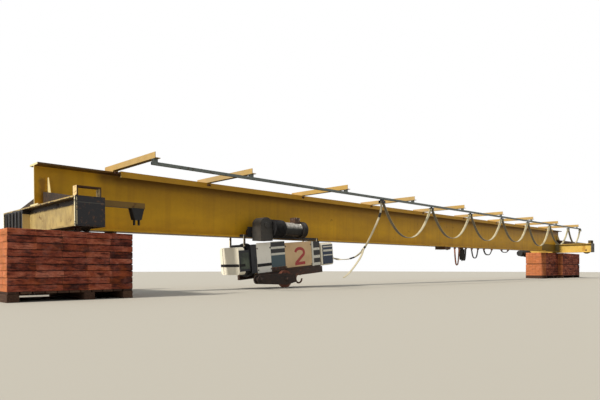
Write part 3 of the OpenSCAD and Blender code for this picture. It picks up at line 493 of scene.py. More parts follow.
def scatter(part, places, facing):
    """Copies of a part, one at each place, turned to face the way that is named."""
    p, groups = part
    places = np.asarray(places, float).reshape(-1, 3)
    points = (p @ np.asarray(FACING[facing], float))[None] + places[:, None]
    step = np.arange(len(places))[:, None, None] * len(p)
    return points.reshape(-1, 3), [(g[None] + step).reshape(-1, g.shape[1]) for g in groups]


def bolts(places, facing, size=None):
    """Hexagon heads with round washers. Heights and radii are shares of the width over the flats."""
    s = size or settings().bolt_size
    washer = lathe([(0, s * 0.95), (s * 0.12, s * 0.95), (s * 0.15, s * 0.88)], 20)
    head = lathe([(s * 0.15, s * 0.56), (s * 0.72, s * 0.56), (s * 0.82, s * 0.46)], 6)
    return scatter(join([washer, head]), places, facing)


def rounded(width, height, count=24, power=4.0):
    """Outline of a flat section with round edges: a superellipse of the given power."""
    t = np.arange(count) * math.tau / count
    c, s = np.cos(t), np.sin(t)
    e = 2.0 / power
    x, y = np.sign(c) * np.abs(c) ** e * width / 2, np.sign(s) * np.abs(s) ** e * height / 2
    return np.stack([x, y], axis=1)


def bead(start, end, rng, width=0.010):
    """A weld bead: a round section along a straight line, each ring of it grown or shrunk a little."""
    start, end = np.asarray(start, float), np.asarray(end, float)
    long, count = np.linalg.norm(end - start), 8
    path = np.linspace(start, end, max(4, int(long / 0.010)))
    side = (0.0, 0.0, 1.0) if abs(end[2] - start[2]) < 0.5 * long else (1.0, 0.0, 0.0)
    points, faces = sweep(rounded(width, width, count, 2.0), path, side)
    ring = points.reshape(-1, count, 3) - path[:, None]
    grown = path[:, None] + ring * rng.uniform(0.8, 1.15, len(path))[:, None, None]
    return grown.reshape(-1, 3), faces


def smooth_path(points, per_span=6):
    """A denser path through the points, as a Catmull-Rom curve."""
    p = np.asarray(points, float)
    p = np.concatenate([[2 * p[0] - p[1]], p, [2 * p[-1] - p[-2]]])
    t = np.linspace(0, 1, per_span, endpoint=False)[:, None]
    out = []
    for k in range(1, len(p) - 2):
        a, b, c, d = p[k - 1], p[k], p[k + 1], p[k + 2]
        out.append(0.5 * (2 * b + (c - a) * t + (2 * a - 5 * b + 4 * c - d) * t ** 2
                          + (3 * b - a - 3 * c + d) * t ** 3))
    return np.concatenate(out + [p[-2:-1]])


def put(name, part, finish, body, smooth=True, values=None):
    """Makes the piece in the scene, in place, and lets it ride on its body.

    values holds one number per point for the "tone" attribute, which materials may read.
    """
    points, groups = part
    mesh = bpy.data.meshes.new(name)
    mesh.vertices.add(len(points))
    mesh.vertices.foreach_set("co", points.astype(np.float32).ravel())
    loops = np.concatenate([g.ravel() for g in groups]).astype(np.int32)
    totals = np.concatenate([np.full(len(g), g.shape[1]) for g in groups]).astype(np.int32)
    mesh.loops.add(len(loops))
    mesh.loops.foreach_set("vertex_index", loops)
    mesh.polygons.add(len(totals))
    mesh.polygons.foreach_set("loop_start", np.concatenate([[0], np.cumsum(totals)[:-1]]).astype(np.int32))
    mesh.polygons.foreach_set("loop_total", totals)
    mesh.update(calc_edges=True)
    mesh.validate()
    mesh.polygons.foreach_set("use_smooth", np.full(len(mesh.polygons), smooth))
    if smooth:
        mesh.set_sharp_from_angle(angle=math.radians(35))
    if values is not None:
        mesh.attributes.new("tone", "FLOAT", "POINT").data.foreach_set("value", values.astype(np.float32))
    mesh.materials.append(material_of(finish))
    piece = bpy.data.objects.new(name, mesh)
    bpy.context.scene.collection.objects.link(piece)
    if body:
        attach(piece, body)
    return piece


# Materials

# The low and high of a face's direction along X where it gets painted sunlight: the faces that look along -X,
# toward the sun
SUNNY = (-0.6, -0.9)


def shade(code):
    """Linear colour, with alpha, of a hex code or of a colour among the settings."""
    if code.startswith("#"):
        return linear(code)
    return tuple(getattr(bpy.context.scene.crane_colours, code)) + (1.0,)


def per(mm):
    """Texture scale, in cycles per metre, of a pattern that repeats every so many millimetres."""
    return 1000.0 / mm


def add(tree, kind, inputs=None, stops=None, **options):
    """Adds a node with its settings, its input values or links, and a ramp's stops."""
    node = tree.nodes.new("ShaderNode" + kind)
    for key, value in options.items():
        setattr(node, key, value)
    for key, value in (inputs or {}).items():
        if isinstance(value, bpy.types.NodeSocket):
            tree.links.new(value, node.inputs[key])
        else:
            node.inputs[key].default_value = value
    if stops:
        ramp = node.color_ramp
        while len(ramp.elements) < len(stops):
            ramp.elements.new(1.0)
        for element, (place, colour) in zip(ramp.elements, stops):
            element.position = place
            element.color = shade(colour) if isinstance(colour, str) else (colour,) * 3 + (1.0,)
    return node


class Look:
    """A material in the making: its node tree, its object coordinates and its colour so far."""

    def __init__(self, name, colour):
        self.material = bpy.data.materials.new(name)
        self.material.use_nodes = True
        self.tree = self.material.node_tree
        self.tree.nodes.clear()
        self.at = add(self.tree, "TexCoord").outputs["Object"]
        self.colour = shade(colour)

    def blotch(self, mm, low, high, stretch=(1, 1, 1), detail=6.0, rough=0.6):
        """A factor from 0 to 1 in blotches of a size in mm, cut between low and high of the noise."""
        place = add(self.tree, "Mapping", {"Vector": self.at, "Scale": stretch}).outputs["Vector"]
        noise = add(self.tree, "TexNoise",
                    {"Vector": place, "Scale": per(mm), "Detail": detail, "Roughness": rough})
        ramp = add(self.tree, "ValToRGB", {"Fac": noise.outputs["Fac"]}, stops=[(low, 0.0), (high, 1.0)])
        return ramp.outputs["Color"]

    def over(self, factor, colour, amount=1.0):
        """Lays a colour over the one so far, by a factor times an amount."""
        if amount != 1.0:
            factor = add(self.tree, "Math", {0: factor, 1: amount}, operation="MULTIPLY").outputs[0]
        inputs = {0: factor, 6: self.colour, 7: shade(colour)}
        self.colour = add(self.tree, "Mix", inputs, data_type="RGBA").outputs[2]

    def turned(self, axis, low, high):
        """A factor from 0 to 1 as the surface's own direction along an axis goes from low to high."""
        normal = add(self.tree, "TexCoord").outputs["Normal"]
        part = add(self.tree, "SeparateXYZ", {"Vector": normal}).outputs[axis]
        return add(self.tree, "MapRange", {"Value": part, 1: low, 2: high}).outputs["Result"]

    def zone(self, x=None, y=None, z=None, ragged=0.012, soft=0.003):
        """A factor that is 1 inside the given spans of the crane frame's X, Y and Z.

        Its edge is ragged by one length and fades over the other.
        """
        tree, turn = self.tree, (0.0, SLOPE, 0.0)
        foot = Vector((PIVOT_X - CENTRE_X, 0.0, STAND_TOP))
        foot.rotate(Euler(turn))
        shift = Vector((PIVOT_X, 0.0, WHEEL_BOTTOM)) - foot
        at = add(tree, "Mapping", {"Vector": self.at, "Location": shift, "Rotation": turn}).outputs["Vector"]
        noise = add(tree, "TexNoise", {"Vector": at, "Scale": per(45), "Detail": 5.0}).outputs["Color"]
        moved = add(tree, "VectorMath", {0: noise, 1: (0.5,) * 3}, operation="SUBTRACT").outputs[0]
        moved = add(tree, "VectorMath", {0: moved, 1: (4 * ragged,) * 3, 2: at}, operation="MULTIPLY_ADD")
        place = add(tree, "SeparateXYZ", {"Vector": moved.outputs[0]}).outputs
        factor = 1.0
        for axis, span in enumerate((x, y, z)):
            if span:
                half = (span[1] - span[0]) / 2
                off = add(tree, "Math", {0: place[axis], 1: sum(span) / 2}, operation="SUBTRACT").outputs[0]
                off = add(tree, "Math", {0: off}, operation="ABSOLUTE").outputs[0]
                inside = add(tree, "MapRange", {"Value": off, 1: half + soft / 2, 2: half - soft / 2})
                factor = add(tree, "Math", {0: inside.outputs["Result"], 1: factor},
                             operation="MULTIPLY").outputs[0]
        return factor

    def mark(self, marks):
        """Lays marks over the colour so far. A mark is a colour, its strength and its zone's spans."""
        for colour, amount, spans in marks:
            self.over(self.zone(**spans), colour, amount)

    def finish(self, rough, height=None, depth_mm=1.0, metal=0.0, spec=0.5):
        """Ends the material with its shader. The height's depth is a real one, in mm."""
        inputs = {"Base Color": self.colour, "Roughness": rough, "Metallic": metal}
        if metal == 0.0:
            inputs["Specular IOR Level"] = spec
        if height is not None:
            bump = add(self.tree, "Bump", {"Height": height, "Strength": 0.8, "Distance": depth_mm / 1000})
            inputs["Normal"] = bump.outputs["Normal"]
        shader = add(self.tree, "BsdfPrincipled", inputs)
        add(self.tree, "OutputMaterial", {"Surface": shader.outputs["BSDF"]})
        return self.material


def weathered_enamel(name, colour, faded, stain, rust_low=0.66, under="#3E2A16", streak=0.3, edge=None,
                     runs=(110, 0.05), marks=()):
    """Old brushed enamel: broad faded patches, weak runs down it, a few rust pits, undersides darkened with
    painted shade and grime.

    An edge colour is painted sunlight, laid on the faces that look along -X toward the sun.
    """
    look = Look(name, colour)
    look.over(look.blotch(1300, 0.35, 0.7), faded)
    look.over(look.blotch(runs[0], 0.45, 0.80, stretch=(1, 1, runs[1])), stain, streak)
    look.over(look.blotch(300, 0.44, 0.74, stretch=(0.4, 1, 1), detail=8.0, rough=0.65), stain, streak)
    # Painted sunlight on the faces that look along -X
    if edge:
        look.over(look.turned(0, *SUNNY), edge)
    low = rust_low + 0.06 * (0.5 - settings().rust)
    rust = look.blotch(160, low, low + 0.05, detail=10.0, rough=0.72)
    look.over(rust, "#50301C")
    look.mark(marks)
    # Painted shade with grime on the faces that look down
    look.over(look.turned(2, -0.4, -0.9), under, 0.85)
    rough = add(look.tree, "MapRange", {"Value": rust, 3: 0.55, 4: 0.9}).outputs["Result"]
    return look.finish(rough, look.blotch(7, 0.3, 0.8), 0.5, spec=0.3)


def grimy_paint(name, colour, dust, wear="#4A3A2E", rough=0.55, dusty=0.45, edge=None, wear_low=0.62,
                marks=()):
    """Dark machine enamel under grease and settled dust, worn through at the high spots.

    An edge colour is painted sunlight on the faces that look along -X, left off where the paint has flaked.
    """
    look = Look(name, colour)
    film = look.blotch(220, 0.38, 0.75)
    look.over(film, dust, dusty)
    look.over(look.blotch(45, wear_low, wear_low + 0.08, detail=8.0, rough=0.7), wear)
    # Painted sunlight on the faces that look along -X, broken by flaked spots
    if edge:
        flaked = look.blotch(30, 0.56, 0.62)
        kept = add(look.tree, "Math", {0: 1.0, 1: flaked}, operation="SUBTRACT").outputs[0]
        side = add(look.tree, "Math", {0: look.turned(0, *SUNNY), 1: kept}, operation="MULTIPLY")
        look.over(side.outputs[0], edge)
    look.mark(marks)
    gloss = add(look.tree, "MapRange", {"Value": film, 3: rough - 0.1, 4: rough + 0.25}).outputs["Result"]
    return look.finish(gloss, look.blotch(5, 0.3, 0.8), 0.4, spec=0.35)


def scale_rust(name, dark, light):
    """Steel left bare for years: layered scale with paler, powdery bloom."""
    look = Look(name, dark)
    look.over(look.blotch(70, 0.35, 0.7, detail=8.0), light)
    look.over(look.blotch(9, 0.6, 0.75), "#A0663A")
    return look.finish(0.88, look.blotch(12, 0.3, 0.75, detail=9.0), 1.2)


def powder_coat(name, colour, dust, stain=0.35):
    """Pale sheet metal enamel, chalky with age, with grey dirt in drifts and thin vertical runs."""
    look = Look(name, colour)
    dirt = look.blotch(160, 0.42, 0.8, detail=7.0)
    look.over(dirt, dust, stain)
    look.over(look.blotch(22, 0.60, 0.82, stretch=(1, 1, 0.08), detail=3.0), "#7E7460", 0.4)
    gloss = add(look.tree, "MapRange", {"Value": dirt, 3: 0.42, 4: 0.72}).outputs["Result"]
    return look.finish(gloss, look.blotch(3, 0.35, 0.7), 0.15)


def dull_zinc(name, colour, pale):
    """Galvanised strip gone dull, with its spangle barely showing and brown edges."""
    look = Look(name, colour)
    cells = add(look.tree, "TexVoronoi", {"Vector": look.at, "Scale": per(14)})
    look.over(cells.outputs["Color"], pale, 0.4)
    rust = look.blotch(60, 0.58, 0.68, detail=8.0)
    look.over(rust, "#4A3424")
    gloss = add(look.tree, "MapRange", {"Value": rust, 3: 0.5, 4: 0.85}).outputs["Result"]
    return look.finish(gloss, look.blotch(6, 0.3, 0.8), 0.2, metal=0.4)


def cable_sheath(name, colour, grime, stain=0.5, under=None):
    """Flat cable of pale rubber, grey where hands and oil have been, with an under colour as painted shade on
    its faces that look down.
    """
    look = Look(name, colour)
    look.over(look.blotch(90, 0.4, 0.75), grime, stain)
    # Painted shade on the faces that look down
    if under:
        look.over(look.turned(2, 0.10, -0.30), under, 0.85)
    return look.finish(0.7, look.blotch(2.5, 0.3, 0.8), 0.15)


def toned(look, grain, grain_share, stops):
    """Starts the colour from a ramp over each piece's own tone and a share of the grain."""
    tone = add(look.tree, "Attribute", attribute_name="tone").outputs["Fac"]
    mixed = add(look.tree, "Math", {0: grain, 1: grain_share, 2: tone}, operation="MULTIPLY_ADD")
    look.colour = add(look.tree, "ValToRGB", {"Fac": mixed.outputs[0]}, stops=stops).outputs["Color"]


def fired_brick(name, darkest):
    """Fired clay: every brick its own red, with sandy pits, dust, dark lines drawn along its faces and
    painted sunlight on its ends that look along -X.
    """
    look = Look(name, darkest)
    grain = look.blotch(60, 0.34, 0.66, stretch=(0.45, 0.45, 1), detail=9.0, rough=0.75)
    toned(look, grain, 0.56, [(0.0, darkest), (0.35, "#4E231B"), (0.62, "#8A4330"), (1.0, "#C0745A")])
    look.over(look.blotch(150, 0.50, 0.62, stretch=(0.6, 0.6, 1)), "#A85426", 0.4)
    drawn = look.blotch(24, 0.52, 0.62, stretch=(0.16, 0.16, 1), detail=5.0)
    look.over(drawn, "#2A1210", 0.8)
    look.over(look.blotch(5, 0.60, 0.68, detail=4.0), "#2E1612", 0.6)
    # Painted sunlight on the ends that look along -X
    look.over(look.turned(0, *SUNNY), "#CE8250", 0.55)
    look.over(look.blotch(110, 0.5, 0.75, detail=8.0, rough=0.7), "#A8766C", 0.35)
    return look.finish(0.93, drawn, 1.5, spec=0.2)


def old_timber(name, darkest):
    """Sawn pallet wood gone grey-brown: long grain, dark checks, each board its own tone."""
    look = Look(name, darkest)
    grain = look.blotch(14, 0.3, 0.75, stretch=(1, 0.05, 1), detail=7.0, rough=0.7)
    toned(look, grain, 0.5, [(0.0, darkest), (0.4, "#3E2A20"), (0.8, "#5E4636"), (1.0, "#7A6450")])
    return look.finish(0.9, grain, 0.9, spec=0.25)


def cast_aluminium(name, colour, hollow):
    """Silver sprayed casting, dulled by weather, with dark dirt in its hollows and painted shade darkening
    all but its upward faces.
    """
    look = Look(name, colour)
    dirt = look.blotch(55, 0.42, 0.72, detail=7.0)
    look.over(dirt, hollow)
    # Painted shade: the faces that do not look up go near black
    look.over(look.turned(2, 0.50, 0.00), "#12100E")
    gloss = add(look.tree, "MapRange", {"Value": dirt, 3: 0.4, 4: 0.8}).outputs["Result"]
    return look.finish(gloss, look.blotch(3, 0.3, 0.8), 0.3, metal=0.3)


def wire_rope(name, colour, crown):
    """Greased wire rope: bright crowns of the strands between dark greasy lays."""
    look = Look(name, colour)
    lay = add(look.tree, "TexWave", {"Vector": look.at, "Scale": per(14) / 6.28, "Distortion": 0.0},
              wave_type="BANDS", bands_direction="DIAGONAL").outputs["Fac"]
    look.over(lay, crown)
    return look.finish(0.5, lay, 1.5, metal=0.7)


def plain_paint(name, colour, grime):
    """Hand painted or printed colour, thin in places so that the dirty ground shows."""
    look = Look(name, colour)
    look.over(look.blotch(26, 0.55, 0.8, detail=8.0), grime)
    return look.finish(0.5, look.blotch(3, 0.35, 0.7), 0.1)


def pale_floor(name, colour):
    """Matt pale floor without any pattern."""
    return Look(name, colour).finish(0.9, spec=0.2)


def mark(colour, amount, **spans):
    """A mark on a paint: its colour, its strength and the spans of its zone."""
    return colour, amount, spans


# The girder: the far top corner, darkened as painted shade under the flange rim, painted shade under the cap
# in two strengths, the dark right end behind the haunch, and the scorched strip at the left end
GIRDER_MARKS = [
    # Painted shade along the rim of the top flange
    mark("#34200F", 0.9, y=(-0.20, -0.118), z=(0.70, 0.80)),
    # Painted shade under the cap, a broad soft one and then a narrow one
    mark("#6A4608", 0.5, x=(0.85, 18.6), z=(0.46, 1.0), ragged=0.03, soft=0.40),
    mark("#5A3A08", 0.65, x=(0.75, 18.6), z=(0.645, 0.90), ragged=0.008, soft=0.10),
    mark("#46380F", 0.8, x=(16.41, 18.2), z=(-0.06, 0.26)),
    mark("#4A2E12", 0.6, x=(0.06, 0.14), z=(0.30, 0.60), ragged=0.02, soft=0.05),
]

# The carriages: fresher paint on the right one, the painted shadow of the top flange along the left one's top
# edge, rust round its near end and a brown patch on the right one
CARRIAGE_MARKS = [
    mark("#F0C23C", 0.4, x=(17.0, 19.0)),
    # Painted shadow cast by the top flange's overhang on the left carriage's face
    mark("#1C0E0B", 0.95, x=(-0.3, 0.6), z=(0.205, 0.257)),
    mark("#5E3E22", 0.8, x=(-0.3, 0.6), y=(-1.19, -1.08), z=(0.0, 0.107), ragged=0.03),
    mark("#5E3E22", 0.7, x=(-0.3, 0.6), y=(-1.18, -1.12), z=(0.107, 0.2), ragged=0.03),
    mark("#A87624", 0.7, x=(17.5, 17.9), y=(-0.98, -0.88), z=(0.0, 0.2)),
]

END_PLATE_MARKS = [mark("#5E5A52", 0.5, z=(0.198, 0.206), ragged=0.001), mark("#2C2820", 0.9, x=(16.7, 18.6))]
BOW_MARKS = [mark("#2C2618", 0.9, x=(16.7, 18.6))]
# The near side of the left wheel box in the carriage's cream, brightened as painted sunlight so that it reads
# as part of the sunlit face
WHEEL_BOX_MARKS = [mark("#E0C88C", 1.0, x=(-0.14, 0.16), y=(0.40, 0.424), z=(-0.1, 0.202), ragged=0.001)]

# Every finish by its short name: the kind of surface, the material's name and its colours. A word
# in the place of a hex code is a colour among the settings.
FINISHES = {
    "girder": partial(weathered_enamel, "Ochre girder enamel", "girder", "#CA980F", "#A0700C", 0.64,
                      streak=0.45, edge="#DED2A0", marks=GIRDER_MARKS),
    "cap": partial(weathered_enamel, "Faded cap enamel", "cap", "#AE801A", "#8E6616", edge="#DCCB94"),
    "carriage": partial(weathered_enamel, "Sunned carriage enamel", "carriage", "#B09C68", "#745E3C", 0.60,
                        "#2E1C12", 0.75, runs=(60, 0.5), marks=CARRIAGE_MARKS),
    "arm": partial(weathered_enamel, "Chalky arm enamel", "arm", "#B2996C", "#8A6C3A", 0.64, "#3A2A14"),
    "bracket": partial(weathered_enamel, "Olive bracket enamel", "#7C5E26", "#6E5624", "#54421E", 0.58,
                       "#2A1C10"),
    "stop": partial(weathered_enamel, "Rusting enamel", "#4A361C", "#3A2A18", "#2A1C10", 0.5),
    "end_plate": partial(grimy_paint, "Greasy end plate", "#141216", "#34302E", "#4E3424", dusty=0.6,
                         wear_low=0.55, edge="#D8CCA6", marks=END_PLATE_MARKS),
    "haunch": partial(scale_rust, "Haunch rust", "#1A120C", "#3A2A1A"),
    "rust": partial(scale_rust, "Scale rust", "#2E1C14", "#66402A"),
    "bow": partial(grimy_paint, "Rusted bow paint", "#3C2618", "#5A3C26", "#2A1A12", 0.8, edge="#DABE88",
                   marks=BOW_MARKS),
    "red_rust": partial(scale_rust, "Red sheave rust", "#4A261A", "#7A4430"),
    "block": partial(scale_rust, "Greasy block rust", "#140E0B", "#2E1E16"),
    "wheel": partial(scale_rust, "Wheel rust", "#2A201A", "#54402E"),
    "dark": partial(grimy_paint, "Black machine enamel", "#151416", "#3A3836"),
    "wheel_box": partial(grimy_paint, "Black wheel box enamel", "#151416", "#3A3836", marks=WHEEL_BOX_MARKS),
    "gearbox": partial(grimy_paint, "Dusty gearbox enamel", "#2A2826", "#5A544C", "#3A322C", 0.6, 0.6),
    "flange": partial(grimy_paint, "Charcoal housing enamel", "#25262A", "#34343A", "#1E1E22", 0.5, 0.3),
    "frame": partial(grimy_paint, "Hoist frame enamel", "#2A1A11", "#523422", "#6A3A26", 0.6, 0.6,
                     wear_low=0.55),
    "hanger": partial(grimy_paint, "Painted hanger", "#3A3026", "#6A5C46", "#2A2018", 0.7, edge="#E6DCC0"),
    "rail": partial(dull_zinc, "Dull rail zinc", "#565C58", "#7E847C"),
    "cable": partial(cable_sheath, "Pale flat cable", "cable", "#857B62", under="#4E4436"),
    "tow": partial(cable_sheath, "Pale tow cable", "#C6BC9E", "#756B58", 0.65),
    "black_cable": partial(cable_sheath, "Black cable sheath", "#1A1817", "#3E3A36"),
    "orange_cable": partial(cable_sheath, "Orange cable sheath", "#96542A", "#5E4230"),
    "cover": partial(powder_coat, "Cream cover enamel", "cover", "#D2C8AC", 0.25),
    "tan": partial(powder_coat, "Tan cover enamel", "drum_sheet", "#A8865E"),
    "silver": partial(cast_aluminium, "Silver cast motor", "#C6C2BA", "#5E5A54"),
    "rope": partial(wire_rope, "Greased wire rope", "#1E1A16", "#6E6860"),
    "drum": partial(dull_zinc, "Greasy drum steel", "#343029", "#4E4840"),
    "brick": partial(fired_brick, "Fired brick", "#1E0B09"),
    "timber": partial(old_timber, "Old pallet timber", "#1E1410"),
    "red": partial(plain_paint, "Red numeral paint", "numeral", "#BE6E52"),
    "black_stripe": partial(plain_paint, "Black stripe paint", "#161516", "#3E3A36"),
    "white_stripe": partial(plain_paint, "White stripe paint", "#DEDBCE", "#9A9484"),
    "teal": partial(plain_paint, "Blue green panel paint", "#3A5058", "#46585C"),
    "navy": partial(plain_paint, "Dark blue panel paint", "#1E2E46", "#3A4450"),
    "grey_panel": partial(powder_coat, "Pale grey panel enamel", "#F8F4E8", "#D6CFBE", 0.25),
    "rubber": partial(grimy_paint, "Black rubber strip", "#161516", "#2E2A28", "#221E1C", 0.75),
    "zinc_bolt": partial(dull_zinc, "Zinc bolt", "#4A4640", "#76726A"),
    "fan": partial(grimy_paint, "Grimy fan cover", "#14100D", "#382C20", "#5A4430", 0.6, 0.6),
    "terminal": partial(grimy_paint, "Rusty terminal box", "#3E2C22", "#8A5E40", "#B0A290", 0.7, 0.7,
                        wear_low=0.54),
    "switch": partial(grimy_paint, "Black switch casing", "#0B0A0A", "#1E1916", "#2A2018", 0.6),
    "worn_label": partial(grimy_paint, "Worn grey green label", "#2C302C", "#76806C", "#1A1C1A", 0.6, 0.9),
    "tape": partial(grimy_paint, "Black tape", "#1A1918", "#3A3632", "#2A2624", 0.6),
    "floor": partial(pale_floor, "Pale floor", "#BFBAAE"),
}

NODE_FINISH = {
    "girder": ["main_girder"],
    "cap": ["cap_channel", "web_gussets"],
    "carriage": ["carriage_channels"],
    "end_plate": ["carriage_end_plates"],
    "haunch": ["carriage_haunches"],
    "wheel": ["carriage_wheels", "trolley_wheels"],
    "wheel_box": ["wheel_boxes"],
    "dark": ["travel_drives", "trolley_bogies", "hoist_motor"],
    "switch": ["limit_switch", "tow_carrier", "cable_end_clamp"] + ["carrier_%d" % k for k in range(2, 8)],
    "rust": ["load_hook", "spare_clips"],
    "block": ["hook_block"],
    "bow": ["end_bows"],
    "red_rust": ["block_sheave"],
    "arm": ["festoon_arms"],
    "bracket": ["switch_bracket"],
    "rail": ["festoon_rail", "rail_hangers"],
    "gearbox": ["travel_gearbox"],
    "cover": ["hoist_left_cover", "hoist_right_cover"],
    "hanger": ["hoist_hangers"],
    "flange": ["gearbox_flange"],
    "drum": ["rope_drum"],
    "tan": ["drum_cover"],
    "frame": ["hoist_lower_frame"],
    "rope": ["rope_falls"],
    "stop": ["end_stops"],
}


def material_of(finish):
    """The material of a finish, made when it is first asked for."""
    make = FINISHES[finish]
    return bpy.data.materials.get(make.args[0]) or make()


def finish_nodes():
    """Gives every CAD node that stays in view its material."""
    for finish, nodes in NODE_FINISH.items():
        for node in nodes:
            for slot in frame["nodes"][node].material_slots:
                slot.material = material_of(finish)


# Pieces

def make_stage():
    """Camera, soft lights, pale floor and the white backdrop behind the object."""
    scene = bpy.context.scene
    camera = bpy.data.objects.new("photo_camera", bpy.data.cameras.new("photo_camera"))
    camera.location = CAMERA_AT
    camera.rotation_euler = (math.pi / 2, 0.0, CAMERA_TURN)
    camera.data.lens = CAMERA_LENS
    camera.data.sensor_width = CAMERA_SENSOR
    camera.data.shift_x, camera.data.shift_y = CAMERA_SHIFT
    camera.data.clip_end = CAMERA_REACH
    scene.collection.objects.link(camera)
    scene.camera = camera

    sun = bpy.data.objects.new("soft_sun", bpy.data.lights.new("soft_sun", "SUN"))
    sun.data.energy = SUN_POWER
    sun.data.angle = SUN_WIDTH
    sun.data.color = SUN_COLOUR
    sun.rotation_euler = Vector(SUN_PATH).to_track_quat("-Z", "Y").to_euler()
    scene.collection.objects.link(sun)

    scene.world = bpy.data.worlds.new("studio")
    scene.world.use_nodes = True
    tree = scene.world.node_tree
    tree.nodes.clear()
    rays = add(tree, "LightPath").outputs
    seen = add(tree, "Math", {0: rays["Is Camera Ray"], 1: rays["Is Glossy Ray"]}, operation="MAXIMUM")
    seen = add(tree, "Math", {0: seen.outputs[0], 1: rays["Is Transmission Ray"]}, operation="MAXIMUM")
    soft = add(tree, "Background", {"Color": SKY_COLOUR, "Strength": SKY_POWER})
    white = add(tree, "Background", {"Color": (1.0, 1.0, 1.0, 1.0), "Strength": 1.0})
    both = add(tree, "MixShader", {0: seen.outputs[0], 1: soft.outputs[0], 2: white.outputs[0]})
    add(tree, "OutputWorld", {"Surface": both.outputs[0]})
    scene.view_settings.view_transform = "Standard"

    corners = np.array([(-1, -1, 0), (1, -1, 0), (1, 1, 0), (-1, 1, 0)], float) * FLOOR_REACH
    floor = put("pale_floor", (corners, [np.array([[0, 1, 2, 3]])]), "floor", None, smooth=False)


def carrier_x(k):
    """Middle of carrier k, from 1, along the crane's X at rest."""
    return TOW_X + CARRIER_PITCH * (k - 1)


def make_cable_loops():
    """The seven flat cables of the festoon row, each bending between its two trolleys.

    Each hangs as low + (top - low) * |2t - 1| ** power, with t from 0 at its left end to 1.
    """
    section = rounded(CABLE_W - CABLE_PLAY, CABLE_T - CABLE_PLAY, 36, 5.0)
    section[:, 1] *= 1 - 0.06 * (0.5 + 0.5 * np.cos(section[:, 0] / CABLE_W * math.tau * CABLE_CORES))
    top = CABLE_TOP - CABLE_T / 2
    t = np.linspace(0, 1, 61)
    for k, ((a, b), low) in enumerate(zip(LOOP_BODIES, LOOP_LOW), start=1):
        left = carrier_x(k) + LOOP_IN
        right = (carrier_x(k + 1) if k < CARRIERS else CLAMP_X) - LOOP_IN
        z = low + (top - low) * np.abs(2 * t - 1) ** LOOP_POWER
        path = crane(np.stack([left + (right - left) * t, np.full_like(t, RAIL_Y), z], axis=1))
        piece = put("flat_cable_%d" % k, sweep(section, path, (0, 1, 0)), "cable", a if a == b else None)
        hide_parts("cable_loop_%d" % k)
        if a != b:
            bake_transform(piece)


def make_tow_cable():
    """The flat cable from the towed trolley to the hoist, its slack end and the tape that ties them."""
    for name, node, route, width, length, far_end in (
            ("tow_flat_cable", "tow_cable", TOW_ROUTE, TOW_W, TOW_LENGTH, "object"),
            ("slack_flat_cable", "slack_cable", SLACK_ROUTE, SLACK_W, SLACK_LENGTH, "bare")):
        part = sweep(rounded(width, CABLE_T, 24, 2.0), crane(smooth_path(route, 4)), CABLE_SIDE)
        piece = put(name, part, "tow", "trolley")
        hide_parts(node)
    section = rounded(TOW_W + TAPE_OUT, CABLE_T + TAPE_OUT, 24, 2.4)
    wraps = [sweep(section, crane(smooth_path(TOW_ROUTE[first:last + 1])), CABLE_SIDE)
             for first, last in TAPED]
    put("cable_tape", join(wraps), "tape", "trolley")


def make_spare_cables():
    """Spare cable hung in loops on the far side: a few round cables side by side in each loop.

    Each hangs as top - drop * (1 - |2t - 1| ** power), a little shorter the further in it lies.
    """
    rng = np.random.default_rng(7)
    parts = {"black_cable": [], "orange_cable": []}
    t = np.linspace(0, 1, 41)
    rise = np.abs(2 * t - 1) ** SPARE_POWER
    for index, (middle, span, drop) in enumerate(SPARE_LOOPS):
        for k in range(SPARE_COUNT):
            radius = SPARE_RADII[k % 2]
            inset = radius + (SPARE_BAND - 2 * radius) * rng.uniform(0.05, 0.95)
            x = middle + (2 * t - 1) * (span / 2 - inset)
            y = np.full_like(t, SPARE_Y + (k - SPARE_COUNT // 2) * SPARE_STEP)
            z = SPARE_TOP - (drop - inset) * (1 - rise)
            finish = "orange_cable" if index == ORANGE_LOOP and k < ORANGE_COUNT else "black_cable"
            section = rounded(2 * radius, 2 * radius, 10, 2.0)
            parts[finish].append(sweep(section, crane(np.stack([x, y, z], axis=1)), (0, 1, 0)))
    made = [put("spare_%ss" % finish, join(cables), finish, "crane")
            for finish, cables in parts.items()]
    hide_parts("spare_cables")


def brick_cells(pack, rng):
    """Centres, sizes and tones of the bricks of one pack that show from outside."""
    s = settings()
    nx = max(2, round(pack["w"] / s.brick_length))
    ny = max(2, round(pack["l"] / s.brick_width))
    nz = pack["courses"] * pack["tiers"]
    i, j, k = np.meshgrid(np.arange(nx), np.arange(ny), np.arange(nz), indexing="ij")
    cell = np.array([pack["w"] / nx, pack["l"] / ny, COURSE_H])
    uneven = rng.uniform(-BRICK_UNEVEN, BRICK_UNEVEN, size=(nx + 1, nz))
    uneven[[0, nx]] = 0.0
    top = (k + 1) % pack["courses"] == 0
    shown = (i == 0) | (i == nx - 1) | (j == 0) | (j == ny - 1) | top
    i, j, k = i[shown], j[shown], k[shown]
    low = [pack["x"], pack["y"], PALLET_H]
    centre = low + (np.stack([i, j, k], axis=1) + 0.5) * cell
    centre[:, 2] += (k // pack["courses"]) * TIER_BOARD
    left, right = uneven[i, k], uneven[i + 1, k]
    centre[:, 0] += (left + right) / 2
    size = np.tile(cell, (len(i), 1))
    size[:, 0] += right - left
    gap = s.brick_joint * rng.uniform(*GAP_SHARE, size=(len(i), 3))
    shift = rng.uniform(-0.5, 0.5, size=(len(i), 3)) * gap
    shift[:, 2] = -gap[:, 2] / 2
    recess = rng.uniform(0.0, RECESS, size=(len(i), 2))
    shift[:, 0] += np.where(i == 0, recess[:, 0], np.where(i == nx - 1, -0.2 * recess[:, 0], 0.0))
    shift[:, 1] += np.where(j == 0, recess[:, 1], np.where(j == ny - 1, -recess[:, 1], 0.0))
    tone = np.clip(rng.normal(*TONE, len(i)), 0.0, 0.8)
    tone = np.where(i == nx - 1, tone - 0.12 - 0.08 * (k % 2), tone)
    tone = np.where(k % 3 == 0, tone - 0.05, tone)
    return centre + shift, size - gap, tone


